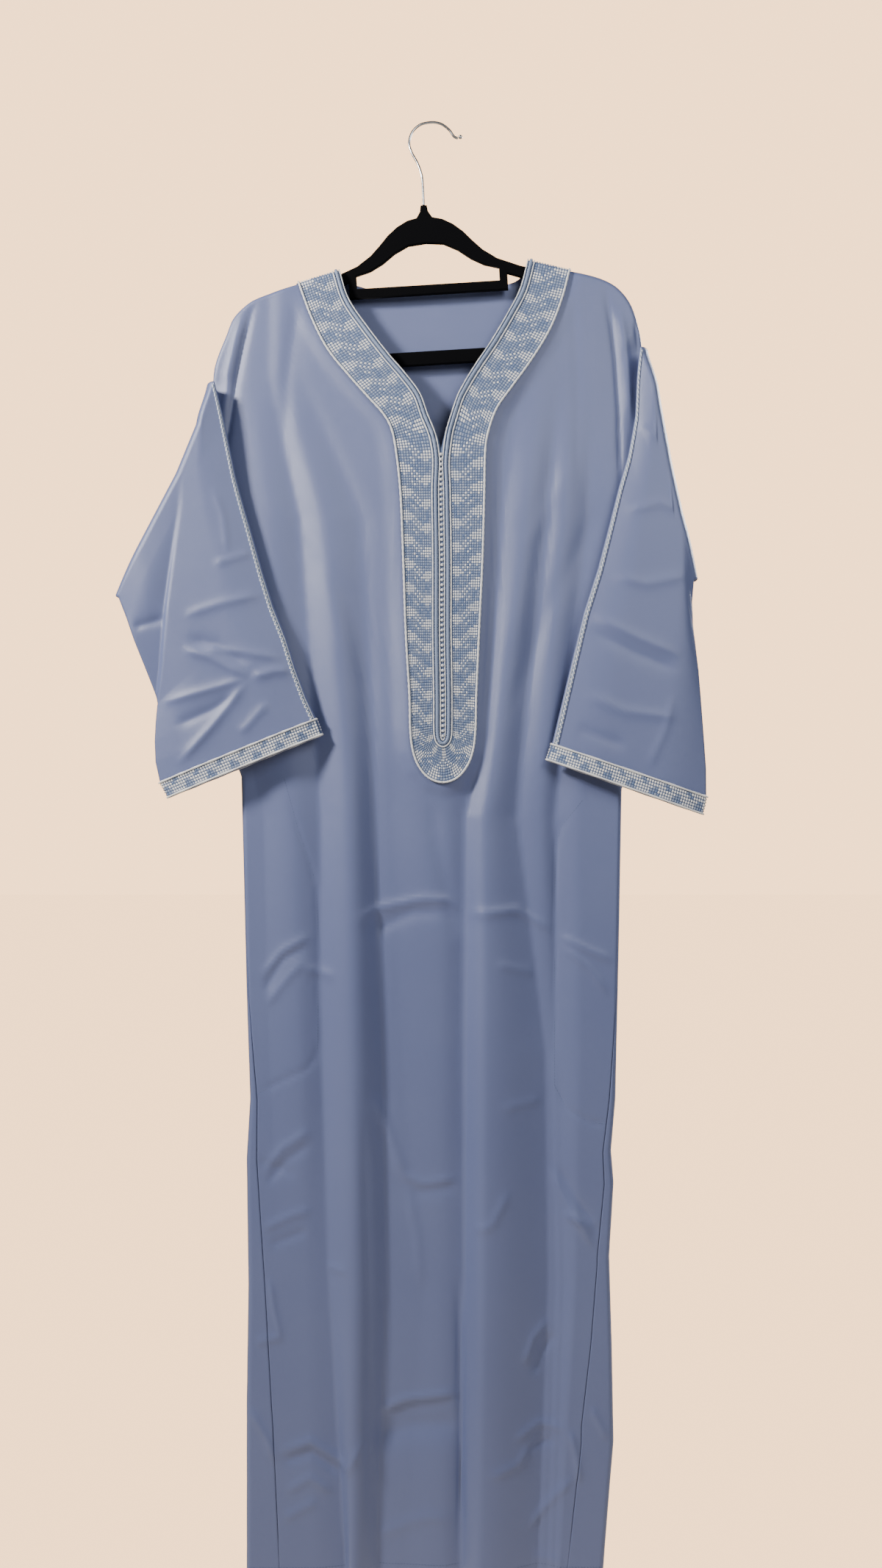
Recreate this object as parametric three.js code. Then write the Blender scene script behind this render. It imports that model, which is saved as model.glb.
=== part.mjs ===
// An open-necked thobe hanging flat from a slim flocked hanger.
// Millimetres. X to the viewer's right, +Y away from the viewer, +Z up.
// The origin is where the hanger's wire hook rests on whatever carries it.
import * as THREE from "three";

// ---- driving sizes ----
const CLOTH = 1.4; // thickness of every cloth wall
const SIDE_GAP = 0.6; // clearance between front and back where the side seam runs round the fold
const TRIM = 1.3; // thickness of embroidered bands and braid
const BAG = 1.0; // thickness of a pocket bag
const HEM_Z = -1650;
const V_POINT = [11, -377]; // bottom of the open neck
const CENTRE_X = 11; // between the left and right halves of the shoulders
const CENTRE_UNDERARM_Z = -535;
const SHOULDER_SEAM = 0.4; // depth of each panel's edge at the shoulder seam
const SHOULDER_ROUND = 5; // how far the cloth takes to bend over the shoulder seam
const SIDE_ROUND = 5; // half width of the soft fold down each side
const SIDE_QUARTER = 10.3; // length of cloth in a quarter of that fold
const ARMHOLE_BLEND = 25; // width of cloth that eases into the armhole
const ARMHOLE_GAP = 1.1; // clearance between a sleeve and the body along the armhole
const ARMHOLE_END_GAP = 1.5; // and how much more there is at its two ends
const EDGE_GAP = 1.2; // half the gap left between a sleeve's walls at its pressed edges
const EDGE_CAP = 60; // width over which a pressed sleeve edge fills out
const FRONT_EASE = 1.8; // how far the armhole's front half stands off, less EDGE_GAP
const BACK_EASE = 7.8;
const TURN_Y = -11; // depth of the line about which each sleeve folds forward
const TURN_FLAT = 0.45; // how far that fold is pressed flat
const PLEAT_STEP = 6; // how far the cloth behind a sleeve's pleat sits back
const PLEAT_FADE = 30; // length over which the pleat dies out towards the cuff
const EDGE_TIP = 0.96; // how far a pressed edge stands beyond its two walls
const NEARBY = 0.02; // share of a line's length used to find its direction

// ---- outlines, each a list of [x, z] from the top down ----
const SHOULDER = {
  left: [
    [-249, -303],
    [-247, -281],
    [-242, -264],
    [-233, -242],
    [-226, -224],
    [-213, -210],
    [-197, -200],
    [-153, -185],
    [-104, -170],
  ],
  right: [
    [240, -264],
    [238, -246],
    [234, -228],
    [228, -210],
    [219, -196],
    [207, -185],
    [189, -177],
    [160, -170],
    [109, -158],
  ],
};
const FRONT_NECK = {
  left: [[-104, -170], [-93, -204], [-71, -237], [-48, -267], [-30, -288], [-13, -311], [-4, -335],
    [3, -355], V_POINT],
  right: [[109, -158], [100, -192], [86, -220], [68, -251], [50, -278], [36, -301], [26, -323],
    [19, -346], V_POINT],
};
const BACK_NECK = {
  left: [[-104, -170], [-92, -188], [-61, -196], [11, -198]],
  right: [[109, -158], [100, -176], [78, -189], [11, -198]],
};
const ARMHOLE = {
  left: [[-249, -303], [-256, -352], [-279, -408], [-350, -543]],
  right: [[240, -264], [250, -330], [262, -395], [274, -450], [294, -523]],
};
const OUTLINE = {
  left: [[-350, -543], [-318, -590], [-270, -650], [-232, -705], [-216, -744], [-213, -864], [-210, -991],
    [-206, -1111], [-210, -1179], [-208, -1323], [-210, -1457], [-210, HEM_Z]],
  right: [[294, -523], [283, -570], [262, -640], [236, -700], [216, -759], [213, -928], [209, -1111],
    [204, -1170], [207, -1206], [202, -1290], [205, -1391], [207, -1500], [200, -1585], [195, HEM_Z]],
};
// How much of the back panel comes round each side to the front, [width, z].
const WRAP = {
  left: [[1.6, -543], [2, -744], [4, -880], [8, -1000], [14, -1111], [25, -1323], [36, -1480], [44, HEM_Z]],
  right: [[1.6, -523], [2, -759], [4, -900], [8, -1010], [13, -1111], [20, -1300], [30, -1391],
    [42, -1480], [47, HEM_Z]],
};

// ---- folds: x then depth at each level; strips is how many strips run to the next fold ----
const LEVELS = [-290, -450, -700, -790, -1060, -1320, HEM_Z];
const FRONT_FOLDS = [
  // name              x at each level                          depth at each level                strips
  ["pocket side", [-222, -262, -212, -190, -184, -172, -158], [-5, -8, -8, -8, -8, -9, -10], 2],
  ["pocket ridge", [-205, -184, -166, -158, -151, -143, -135], [-6, -13, -13, -13, -11, -9, -10], 2],
  ["left crease", [-185, -151, -131, -126, -124, -116, -97], [-6, -7, -7, -6, -4, -6, -5], 3],
  ["left crest", [-168, -120, -96, -92, -87, -86, -89], [-8, -15, -18, -19, -21, -21, -19], 3],
  ["valley floor", [-150, -82, -68, -65, -54, -50, -62], [-8, -9, -5, -4, -1, 0, -1], 2],
  ["valley edge", [-130, -55, -48, -44, -36, -9, -30], [-9, -12, -8, -6, -2, -1, -3], 3],
  ["centre", [11, 12, 13, 13, 11, 13, 11], [-13, -15, -15, -12, -6, -3, -6], 2],
  ["right crease", [100, 77, 58, 39, 37, 37, 33], [-8, -9, -8, -6, -1, 0, -1], 3],
  ["right crest", [125, 106, 76, 61, 62, 61, 57], [-9, -15, -17, -19, -20, -20, -19], 3],
  ["right valley", [145, 131, 104, 97, 130, 133, 121], [-8, -8, -7, -7, -1, 0, -1], 2],
  ["small crest", [162, 151, 129, 123, 136, 141, 131], [-8, -14, -13, -11, -2, -1, -3], 1],
  ["pocket crease", [180, 177, 148, 140, 142, 150, 139], [-7, -8, -6, -6, -4, -4, -6], 2],
  ["pocket crest", [200, 205, 178, 170, 171, 165, 146], [-6, -10, -12, -12, -11, -10, -9], 2],
];
const BACK_FOLDS = [
  ["left side", [-205, -250, -200, -190, -185, -185, -188], [8, 9, 9, 9, 9, 9, 9], 2],
  ["left fold", [-150, -170, -150, -145, -140, -140, -145], [9, 13, 15, 16, 18, 20, 21], 2],
  ["left hollow", [-90, -100, -95, -95, -90, -85, -90], [10, 13, 15, 15, 15, 14, 14], 2],
  ["middle left fold", [-30, -40, -40, -40, -35, -35, -30], [11, 16, 19, 20, 21, 22, 23], 2],
  ["centre", [11, 12, 13, 13, 11, 13, 11], [11, 14, 16, 16, 15, 15, 15], 2],
  ["middle right fold", [50, 62, 65, 65, 60, 60, 62], [11, 16, 19, 19, 21, 22, 22], 2],
  ["right hollow", [100, 115, 110, 110, 112, 110, 108], [10, 13, 15, 15, 14, 14, 14], 2],
  ["right fold", [150, 175, 160, 155, 155, 155, 150], [9, 13, 15, 16, 18, 20, 20], 2],
  ["right side", [205, 240, 200, 190, 188, 185, 175], [8, 9, 9, 9, 9, 9, 9], 2],
];

// ---- neck band: outer edge [x, z] down each lapel to the tongue's round end ----
const BAND_OUTER = {
  left: [[-152, -185], [-136, -228], [-118, -263], [-94, -293], [-71, -319], [-55, -337], [-46, -354],
    [-41, -379],
    [-36, -426], [-33, -498], [-30, -584], [-26, -652], [-25, -692], [-21, -714], [-13, -731],
      [-1, -745], [13, -752]],
  right: [[158, -170], [149, -204], [135, -240], [114, -275], [91, -307], [75, -330], [66, -354],
    [62, -379],
    [61, -426], [59, -498], [55, -584], [52, -652], [51, -692], [47, -714], [39, -731], [27, -745],
      [13, -752]],
};
const BAND_INNER = {
  left: [[-104, -170], [-93, -204], [-71, -237], [-48, -267], [-30, -288], [-13, -311], [-4, -335], V_POINT,
    [11, -426], [12, -498], [12, -584], [13, -652], [13, -680], [13, -696], [13, -706], [13, -716],
      [13, -726]],
  right: [[109, -158], [100, -192], [86, -220], [68, -251], [50, -278], [36, -301], [26, -323], V_POINT,
    [11, -426], [12, -498], [12, -584], [13, -652], [13, -680], [13, -696], [13, -706], [13, -716],
      [13, -726]],
};
const BAND_END_Z = -752;
const TONGUE_X = 13; // centre of the tongue's round end
const TONGUE_FLAT = 12; // half width of its nearly straight bottom
const BAND_DEPTH = [[-6, -170], [-11, -250], [-15, -380], [-16, -600], [-15, HEM_Z]]; // [depth, z]
const BAND_STIFF = 18; // how far beyond its edge the band keeps the cloth flat

// ---- sleeves after they fold forward: overarm edge and underarm edge, row by row ----
const SLEEVES = {
  left: {
    rows: [
      // overarm x, z   underarm x, z
      [-246, -306, -350, -545],
      [-236, -352, -341, -566],
      [-222, -408, -332, -592],
      [-207, -457, -322, -618],
      [-190, -517, -313, -642],
      [-178, -555, -306, -662],
      [-164, -590, -308, -684],
      [-154, -622, -309, -705],
      [-142, -655, -308, -728],
      [-131.4, -678.6, -303.5, -748.5],
      [-131, -680, -303, -750],
      [-127, -690, -298, -759],
      [-124, -699, -293, -768],
    ],
    pleat: [[-259, -340], [-265, -385], [-275, -427], [-285, -493], [-293, -550], [-300, -622],
      [-306, -664], [-330, -700]],
    pleatSign: -1,
  },
  right: {
    rows: [
      [235, -266, 294, -526],
      [235, -300, 292, -548],
      [231, -340, 293, -575],
      [221, -388, 296, -600],
      [211, -422, 299, -625],
      [201, -462, 301, -650],
      [188, -512, 303, -677],
      [172, -562, 305, -705],
      [158, -620, 307, -735],
      [137.4, -706.4, 307.1, -764.6],
      [137, -708, 307, -766],
      [134, -718, 305, -777],
      [131, -727, 302, -787],
    ],
    pleat: [[255, -300], [264, -380], [276, -450], [286, -520], [291, -560], [320, -600]],
    pleatSign: 1,
  },
};
const CUFF_ROW = 10; // first sleeve row under the cuff band
const FOLD_STEPS = 6; // rings through the forward fold
const BRAID_SHARE = 0.03; // share of a sleeve's width that the braid covers
const ACROSS = [0, BRAID_SHARE, 0.1, 0.22, 0.36, 0.5, 0.64, 0.78, 0.9, 0.97, 1]; // points across one wall

// ---- pocket bags: the inner edge [x, z] of each, from the top down ----
const BAGS = {
  left: { inner: [[-176, -735], [-166, -752], [-150, -807], [-136, -850], [-131, -880], [-131, -1045],
    [-136, -1070],
    [-160, -1086], [-184, -1096]], top: -735, bottom: -1098 },
  right: { inner: [[184, -755], [172, -771], [150, -801], [145, -824], [145, -1000], [145, -1090],
    [154, -1118],
    [172, -1131], [190, -1136]], top: -755, bottom: -1138 },
};

const BAG_ROWS = 9;
const BAG_STRIPS = 14;
const BAG_INSET = 6; // how far inside the side seam a bag's wall starts
const BAG_GAP = 0.9; // clearance between a bag and the front
const BAND_GAP = 0.45; // clearance between an embroidered band and the cloth under it

// ---- small helpers ----
const clamp = (v, a, b) => Math.min(b, Math.max(a, v));
const lerp = (a, b, t) => a + (b - a) * t;
const smooth = (t) => {
  const c = clamp(t, 0, 1);
  return c * c * (3 - 2 * c);
};
const round = (t) => Math.sqrt(1 - (1 - clamp(t, 0, 1)) ** 2);

// First value of a [value, z] table at height z.
function at(table, z) {
  if (z >= table[0][1]) return table[0][0];
  for (let i = 1; i < table.length; i++)
    if (z >= table[i][1]) {
      const t = (table[i - 1][1] - z) / (table[i - 1][1] - table[i][1]);
      return lerp(table[i - 1][0], table[i][0], t);
    }
  return table[table.length - 1][0];
}

// Point at a fraction of a polyline's length.
function along(line, fraction) {
  const lengths = [0];
  for (let i = 1; i < line.length; i++)
    lengths.push(lengths[i - 1] + Math.hypot(line[i][0] - line[i - 1][0], line[i][1] - line[i - 1][1]));
  const want = clamp(fraction, 0, 1) * lengths[line.length - 1];
  let i = 1;
  while (i < line.length - 1 && lengths[i] < want) i++;
  const t = (want - lengths[i - 1]) / (lengths[i] - lengths[i - 1]);
  return [lerp(line[i - 1][0], line[i][0], t), lerp(line[i - 1][1], line[i][1], t)];
}

function distance(line, x, z) {
  let best = Infinity;
  for (let i = 1; i < line.length; i++) {
    const [ax, az] = line[i - 1];
    const [bx, bz] = line[i];
    const [dx, dz] = [bx - ax, bz - az];
    const t = clamp(((x - ax) * dx + (z - az) * dz) / (dx * dx + dz * dz), 0, 1);
    best = Math.min(best, Math.hypot(x - lerp(ax, bx, t), z - lerp(az, bz, t)));
  }
  return best;
}

// A fold table's values at height z: the x of every fold and its depth.
function foldsAt(table, z) {
  let k = 0;
  while (k < LEVELS.length - 2 && z < LEVELS[k + 1]) k++;
  const t = clamp((LEVELS[k] - z) / (LEVELS[k] - LEVELS[k + 1]), 0, 1);
  return table.map(([, x, y]) => [lerp(x[k], x[k + 1], t), lerp(y[k], y[k + 1], smooth(t))]);
}

// Depth at x between two neighbouring fold lines, each [x, depth].
const eased = ([ax, ay], [bx, by], x) => lerp(ay, by, smooth((x - ax) / (bx - ax)));

function foldDepth(table, x, z) {
  const folds = foldsAt(table, z);
  if (x <= folds[0][0]) return folds[0][1];
  for (let i = 1; i < folds.length; i++)
    if (x <= folds[i][0])
      return eased(folds[i - 1], folds[i], x);
  return folds[folds.length - 1][1];
}

// How filled out a pressed edge is at a distance s from either end of a length.
const lens = (s, length) => Math.sin((Math.PI / 2) * clamp(Math.min(s, length - s) / EDGE_CAP, 0, 1));

const armholeLength = (side) => {
  const line = ARMHOLE[side];
  let total = 0;
  for (let i = 1; i < line.length; i++)
    total += Math.hypot(line[i][0] - line[i - 1][0], line[i][1] - line[i - 1][1]);
  return total;
};

const underarmZ = (side) => ARMHOLE[side][ARMHOLE[side].length - 1][1];

// Depth of the body's cloth on one face: folds, eased into the armholes, round the
// sides and over the shoulder seams. face is -1 in front and 1 behind.
function bodyDepth(face, x, z) {
  const side = x < CENTRE_X ? "left" : "right";
  let y = foldDepth(face < 0 ? FRONT_FOLDS : BACK_FOLDS, x, z);
  if (face < 0) {
    const over = Math.max(at(BAND_OUTER.left, z) - x, x - at(BAND_OUTER.right, z), 0);
    const beside = Math.max(Math.abs(x - TONGUE_X) - TONGUE_FLAT, 0);
    const off = z < BAND_END_Z ? Math.hypot(beside, BAND_END_Z - z) : over;
    y = lerp(at(BAND_DEPTH, z), y, smooth(off / BAND_STIFF));
  }
  const armholeTop = ARMHOLE[side][0][1];
  if (z > underarmZ(side) - 0.5) {
    const off = distance(ARMHOLE[side], x, z);
    const reach = clamp((armholeTop - z) / (armholeTop - underarmZ(side)), 0, 1);
    const full = lens(reach * armholeLength(side), armholeLength(side));
    const edge = face * (EDGE_GAP + full * (face < 0 ? FRONT_EASE : BACK_EASE));
    y = lerp(edge, y, smooth(off / ARMHOLE_BLEND));
  } else {
    const off = Math.abs(x - at(OUTLINE[side], z));
    y *= round(off / SIDE_ROUND);
  }
  const shoulder = distance(SHOULDER[side], x, z);
  const seam = face * SHOULDER_SEAM;
  return lerp(seam, y, Math.max(round(shoulder / SHOULDER_ROUND), 0));
}

// Offset in from the side outline after q mm of cloth round the side fold.
function sideOffset(q) {
  if (q >= SIDE_QUARTER) return SIDE_ROUND + q - SIDE_QUARTER;
  return SIDE_ROUND * (1 - Math.cos((q / SIDE_QUARTER) * (Math.PI / 2)));
}

// ---- a wall of cloth from the quads of its middle surface ----
function wall(quads, outward, inward) {
  const points = [];
  const ids = new Map();
  const id = (p) => {
    const key = p.map((v) => Math.round(v * 200)).join(",");
    if (!ids.has(key)) {
      ids.set(key, points.length);
      points.push(p);
    }
    return ids.get(key);
  };
  const triangles = [];
  for (const quad of quads) {
    const [a, b, c, d] = quad.map(id);
    for (const t of [[a, b, c], [a, c, d]])
      if (t[0] !== t[1] && t[1] !== t[2] && t[2] !== t[0]) triangles.push(t);
  }
  const normals = points.map(() => new THREE.Vector3());
  const corner = (t, i) => new THREE.Vector3(...points[t[i]]);
  for (const t of triangles) {
    const [p, q, r] = [0, 1, 2].map((i) => corner(t, i));
    const n = q.clone().sub(p).cross(r.clone().sub(p)).normalize();
    const angle = (u, v, w) => v.clone().sub(u).angleTo(w.clone().sub(u));
    normals[t[0]].addScaledVector(n, angle(p, q, r));
    normals[t[1]].addScaledVector(n, angle(q, r, p));
    normals[t[2]].addScaledVector(n, angle(r, p, q));
  }
  const count = points.length;
  const position = new Float32Array(count * 6);
  points.forEach((p, i) => {
    const n = normals[i].normalize();
    position.set([p[0] + n.x * outward, p[1] + n.y * outward, p[2] + n.z * outward], i * 3);
    position.set([p[0] - n.x * inward, p[1] - n.y * inward, p[2] - n.z * inward], (count + i) * 3);
  });
  const index = [];
  const edges = new Map();
  for (const [a, b, c] of triangles) {
    index.push(a, b, c, count + a, count + c, count + b);
    for (const [p, q] of [[a, b], [b, c], [c, a]]) edges.set(p + "," + q, [p, q]);
  }
  for (const [p, q] of edges.values())
    if (!edges.has(q + "," + p)) index.push(q, p, count + p, q, count + p, count + q);
  const geometry = new THREE.BufferGeometry();
  geometry.setAttribute("position", new THREE.BufferAttribute(position, 3));
  geometry.setIndex(index);
  geometry.computeVertexNormals();
  return geometry;
}

// Quads between the rows of a grid of points; turned reverses their facing.
function quadsOf(rows, turned) {
  const quads = [];
  for (let i = 1; i < rows.length; i++)
    for (let j = 1; j < rows[i].length; j++) {
      const q = [rows[i - 1][j - 1], rows[i][j - 1], rows[i][j], rows[i - 1][j]];
      quads.push(turned ? q.reverse() : q);
    }
  return quads;
}

// ---- body panels ----
// Rows from the shoulder seam down, as shares of the armhole's length, packed close
// where the cloth bends over the seam.
const UPPER = [0, 0.0008, 0.0032, 0.0075, 0.014, 0.06, 0.14, 0.24, 0.34, 0.45];
const V_SHARE = 0.55; // share of the armhole's length that is level with the V's point
const MIDDLE = [0.33, 0.67, 1]; // rows from the V's point down to the underarm
const LOWER_ROWS = 17;
const FRONT_EDGE = [SIDE_GAP / 2, 1.6, 4.2, 9]; // cloth from the side seam to each edge column
const BACK_EDGE = [0, 0.3, 1.6, SIDE_ROUND]; // inset of the back's edge columns
const WRAP_COLUMNS = [1, 0.72, 0.46, 0.22]; // columns of the back that lie on the front
const EDGE_STEP = 0.35; // spacing of the back's columns along the armhole

// One half of a body panel as rows of [x, z], from its side edge to its inner edge.
function halfPanel(side, face) {
  const folds = face < 0 ? FRONT_FOLDS : BACK_FOLDS;
  const middle = folds.findIndex(([name]) => name === "centre");
  const own = side === "left" ? folds.slice(0, middle + 1) : folds.slice(middle).reverse();
  const strips = side === "left" ? own.map((f) => f[3]) : own.slice(1).map((f) => f[3]).concat(1);
  const shares = [];
  for (let i = 0; i < own.length - 1; i++)
    for (let k = 0; k < strips[i]; k++) shares.push([i, k / strips[i]]);
  shares.push([own.length - 1, 0]);
  const sign = side === "left" ? 1 : -1;
  // x of every column at height z below the armhole
  const columnsAt = (z) => {
    const outline = at(OUTLINE[side], z);
    const wrap = at(WRAP[side], z);
    const lines = foldsAt(own, z).map(([x]) => x);
    const inner = shares.map(([i, t]) => (t ? lerp(lines[i], lines[i + 1], t) : lines[i]));
    const last = Math.abs(inner[0] - outline);
    const q = face < 0 ? FRONT_EDGE.map((d) => sideOffset(wrap + d)) : BACK_EDGE;
    const room = Math.max(...q) + 3;
    const edge = q.map((d) => outline + sign * d);
    return edge.concat(inner.map((x, i) => (last < room && i === 0 ? outline + sign * room : x)));
  };
  const wrapsAt = (z) => {
    const outline = at(OUTLINE[side], z);
    const wrap = at(WRAP[side], z) - SIDE_GAP / 2;
    return WRAP_COLUMNS.map((t) => outline + sign * sideOffset(wrap * t));
  };
  const top = face < 0 ? SHOULDER[side] : SHOULDER[side].concat(BACK_NECK[side].slice(1));
  const neck = face < 0 ? FRONT_NECK[side] : [[11, -198], V_POINT];
  const zU = underarmZ(side);
  const columnsU = columnsAt(zU - 1);
  const span = columnsU[columnsU.length - 1] - columnsU[0];
  const shareU = columnsU.map((x) => (x - columnsU[0]) / span);
  // Along the shoulder the columns stand more evenly than at the underarm.
  const evened = (i) => (i < FRONT_EDGE.length ? 0 : 0.75);
  const shareTop = shareU.map((s, i) => lerp(s, i / (shareU.length - 1), evened(i)));
  const rows = [];
  const levels = UPPER.map((g, i) => {
    const z = lerp(neck[0][1], V_POINT[1], g / V_SHARE);
    return { g, inner: i === 0 ? neck[0] : [at(neck, z), z] };
  });
  levels.push({ g: V_SHARE, inner: V_POINT });
  for (const m of MIDDLE)
    levels.push({ g: lerp(V_SHARE, 1, m), inner: [CENTRE_X + 1, lerp(V_POINT[1], CENTRE_UNDERARM_Z, m)] });
  for (const { g, inner } of levels) {
    const edge = along(ARMHOLE[side], g);
    const keep = (1 - g) ** 1.5;
    rows.push(
      shareU.map((s, j) => {
        const share = lerp(shareTop[j], s, smooth(g));
        const line = [lerp(edge[0], inner[0], share), lerp(edge[1], inner[1], share)];
        const crown = along(top, share);
        const base = [lerp(top[0][0], neck[0][0], share), lerp(top[0][1], neck[0][1], share)];
        return [line[0] + keep * (crown[0] - base[0]), line[1] + keep * (crown[1] - base[1])];
      }),
    );
  }
  const upperCount = rows.length;
  for (let k = 1; k <= LOWER_ROWS; k++) {
    const centre = lerp(CENTRE_UNDERARM_Z, HEM_Z, k / LOWER_ROWS);
    const lean = (zU - CENTRE_UNDERARM_Z) * Math.max(0, 1 - k / 4);
    const columns = columnsAt(centre + lean);
    columns[columns.length - 1] = foldsAt(own, centre)[own.length - 1][0];
    rows.push(
      columns.map((x, j, all) => {
        const share = (x - all[0]) / (all[all.length - 1] - all[0]);
        return [x, centre + lean * (1 - share)];
      }),
    );
  }
  return { rows, wrapsAt, upperCount, sign };
}

function bodyRows(side, face) {
  const { rows, wrapsAt, upperCount, sign } = halfPanel(side, face);
  const solid = rows.map((row) => row.map(([x, z]) => [x, bodyDepth(face, x, z), z]));
  if (face < 0) return solid;
  // The back's outermost columns come round the side to the seam on the front.
  return solid.map((row, i) => {
    const [x0, , z0] = row[0];
    if (i < upperCount) {
      const count = WRAP_COLUMNS.length;
      const shifted = row.map(([x, , z], j) => {
        const nx = x + (j < count - 1 ? sign * EDGE_STEP * count : 0);
        return [nx, bodyDepth(face, nx, z), z];
      });
      const extra = WRAP_COLUMNS.map((_, k) => {
        const nx = x0 + sign * EDGE_STEP * k;
        return [nx, bodyDepth(face, nx, z0), z0];
      });
      return extra.concat(shifted);
    }
    return wrapsAt(z0).map((x) => [x, bodyDepth(-1, x, z0), z0]).concat(row);
  });
}

function bodyPanel(face) {
  const left = bodyRows("left", face);
  const right = bodyRows("right", face);
  return quadsOf(left, face > 0).concat(quadsOf(right, face < 0));
}

// ---- sleeves ----
// Middle surface of a sleeve as rings of points, from the armhole through the
// forward fold to the cuff. Each ring runs down the front wall and back up the other.
function sleeveRings(side) {
  const { rows, pleat, pleatSign } = SLEEVES[side];
  const outward = side === "left" ? -1 : 1;
  const ring = (place) => {
    const front = ACROSS.map((s) => place(s, -1));
    const back = ACROSS.slice().reverse().map((s) => place(s, 1));
    return front.concat([place(1, 0)], back, [place(0, 0)]);
  };
  const length = armholeLength(side);
  const standing = (s, wallSide, span) => {
    const full = lens(s * span, span);
    if (wallSide === 0) return 0;
    return wallSide < 0 ? EDGE_GAP + FRONT_EASE * full : EDGE_GAP + BACK_EASE * full;
  };
  const rings = [];
  for (let k = 0; k <= FOLD_STEPS; k++) {
    const phi = (Math.PI * k) / FOLD_STEPS;
    rings.push(
      ring((s, wallSide) => {
        const p = along(ARMHOLE[side], s);
        const q = along(ARMHOLE[side], Math.min(s + NEARBY, 1));
        const o = along(ARMHOLE[side], Math.max(s - NEARBY, 0));
        const d = new THREE.Vector2(q[0] - o[0], q[1] - o[1]).normalize();
        const n = side === "left" ? [d.y, -d.x] : [-d.y, d.x];
        const stand = standing(s, wallSide, length);
        const rho = -TURN_Y + (wallSide < 0 ? -stand : stand);
        const tip = wallSide === 0 ? (s === 0 ? -EDGE_TIP : EDGE_TIP) : 0;
        const open = ARMHOLE_GAP + ARMHOLE_END_GAP * (1 - lens(s * length, length));
        const start = open * (1 - k / FOLD_STEPS);
        const out = start + TURN_FLAT * rho * Math.sin(phi);
        return [p[0] + n[0] * out + d.x * tip, TURN_Y + rho * Math.cos(phi), p[1] + n[1] * out + d.y * tip];
      }),
    );
  }
  rows.slice(1).forEach(([ox, oz, ux, uz], k) => {
    const span = Math.hypot(ux - ox, uz - oz);
    const d = [(ux - ox) / span, (uz - oz) / span];
    rings.push(
      ring((s, wallSide) => {
        const stand = standing(s, wallSide, span);
        const tip = wallSide === 0 ? (s === 0 ? -EDGE_TIP : EDGE_TIP) : 0;
        const x = lerp(ox, ux, s) + d[0] * tip;
        const z = lerp(oz, uz, s) + d[1] * tip;
        const behind = pleatSign * (x - at(pleat, z));
        const last = pleat[pleat.length - 1][1];
        const ends = smooth((z - last) / PLEAT_FADE) * smooth((k + 0.5) / 2);
        const back = PLEAT_STEP * smooth(behind / PLEAT_STEP) * ends;
        return [x, 2 * TURN_Y + (wallSide < 0 ? stand : -stand) + back, z];
      }),
    );
  });
  return rings.map((r) => r.concat([r[0]]));
}

const materials = {
  cloth: { color: 0x8fa6d8, roughness: 0.55, metalness: 0 },
  band: { color: 0xc9d3e6, roughness: 0.7, metalness: 0 },
  braid: { color: 0xd8dcec, roughness: 0.7, metalness: 0 },
  flock: { color: 0x0c0c0e, roughness: 0.95, metalness: 0 },
  steel: { color: 0xb9bcc0, roughness: 0.25, metalness: 1 },
};

const thobe = new THREE.Group();
function add(name, geometry, material) {
  const mesh = new THREE.Mesh(geometry, new THREE.MeshStandardMaterial(materials[material]));
  mesh.name = name;
  thobe.add(mesh);
}

// ---- what lies on the cloth: made from the cloth's own points, moved out ----
const laidOn = (quads, gap, thickness) => wall(quads, CLOTH / 2 + gap + thickness, -CLOTH / 2 - gap);
const laidUnder = (quads, gap, thickness) => wall(quads, -CLOTH / 2 - gap, CLOTH / 2 + gap + thickness);

const BAND_STRIPS = 4; // strips across each half of the neck band
const BAND_START = [0.01, 0.035, 0.08, 0.15, 0.5]; // extra rows where it bends over the shoulder

function bandHalf(side) {
  const pairs = BAND_OUTER[side].map((outer, i) => [outer, BAND_INNER[side][i]]);
  const between = ([a, b], [c, d], t) => [
    [lerp(a[0], c[0], t), lerp(a[1], c[1], t)],
    [lerp(b[0], d[0], t), lerp(b[1], d[1], t)],
  ];
  pairs.splice(1, 0, ...BAND_START.map((t) => between(pairs[0], pairs[1], t)));
  const rows = pairs.map(([outer, inner]) =>
    Array.from({ length: BAND_STRIPS + 1 }, (_, j) => {
      const x = lerp(outer[0], inner[0], j / BAND_STRIPS);
      const z = lerp(outer[1], inner[1], j / BAND_STRIPS);
      return [x, bodyDepth(-1, x, z), z];
    }),
  );
  return quadsOf(rows, side === "right");
}

function bag(side) {
  const { inner, top, bottom } = BAGS[side];
  const sign = side === "left" ? 1 : -1;
  const rows = Array.from({ length: BAG_ROWS + 1 }, (_, i) => {
    const z = lerp(top, bottom, i / BAG_ROWS);
    const seam = at(OUTLINE[side], z) + sign * sideOffset(at(WRAP[side], z) + BAG_INSET);
    return Array.from({ length: BAG_STRIPS + 1 }, (_, j) => {
      const x = lerp(seam, at(inner, z), j / BAG_STRIPS);
      return [x, bodyDepth(-1, x, z), z];
    });
  });
  return laidUnder(quadsOf(rows, side === "right"), BAG_GAP, BAG);
}

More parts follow.
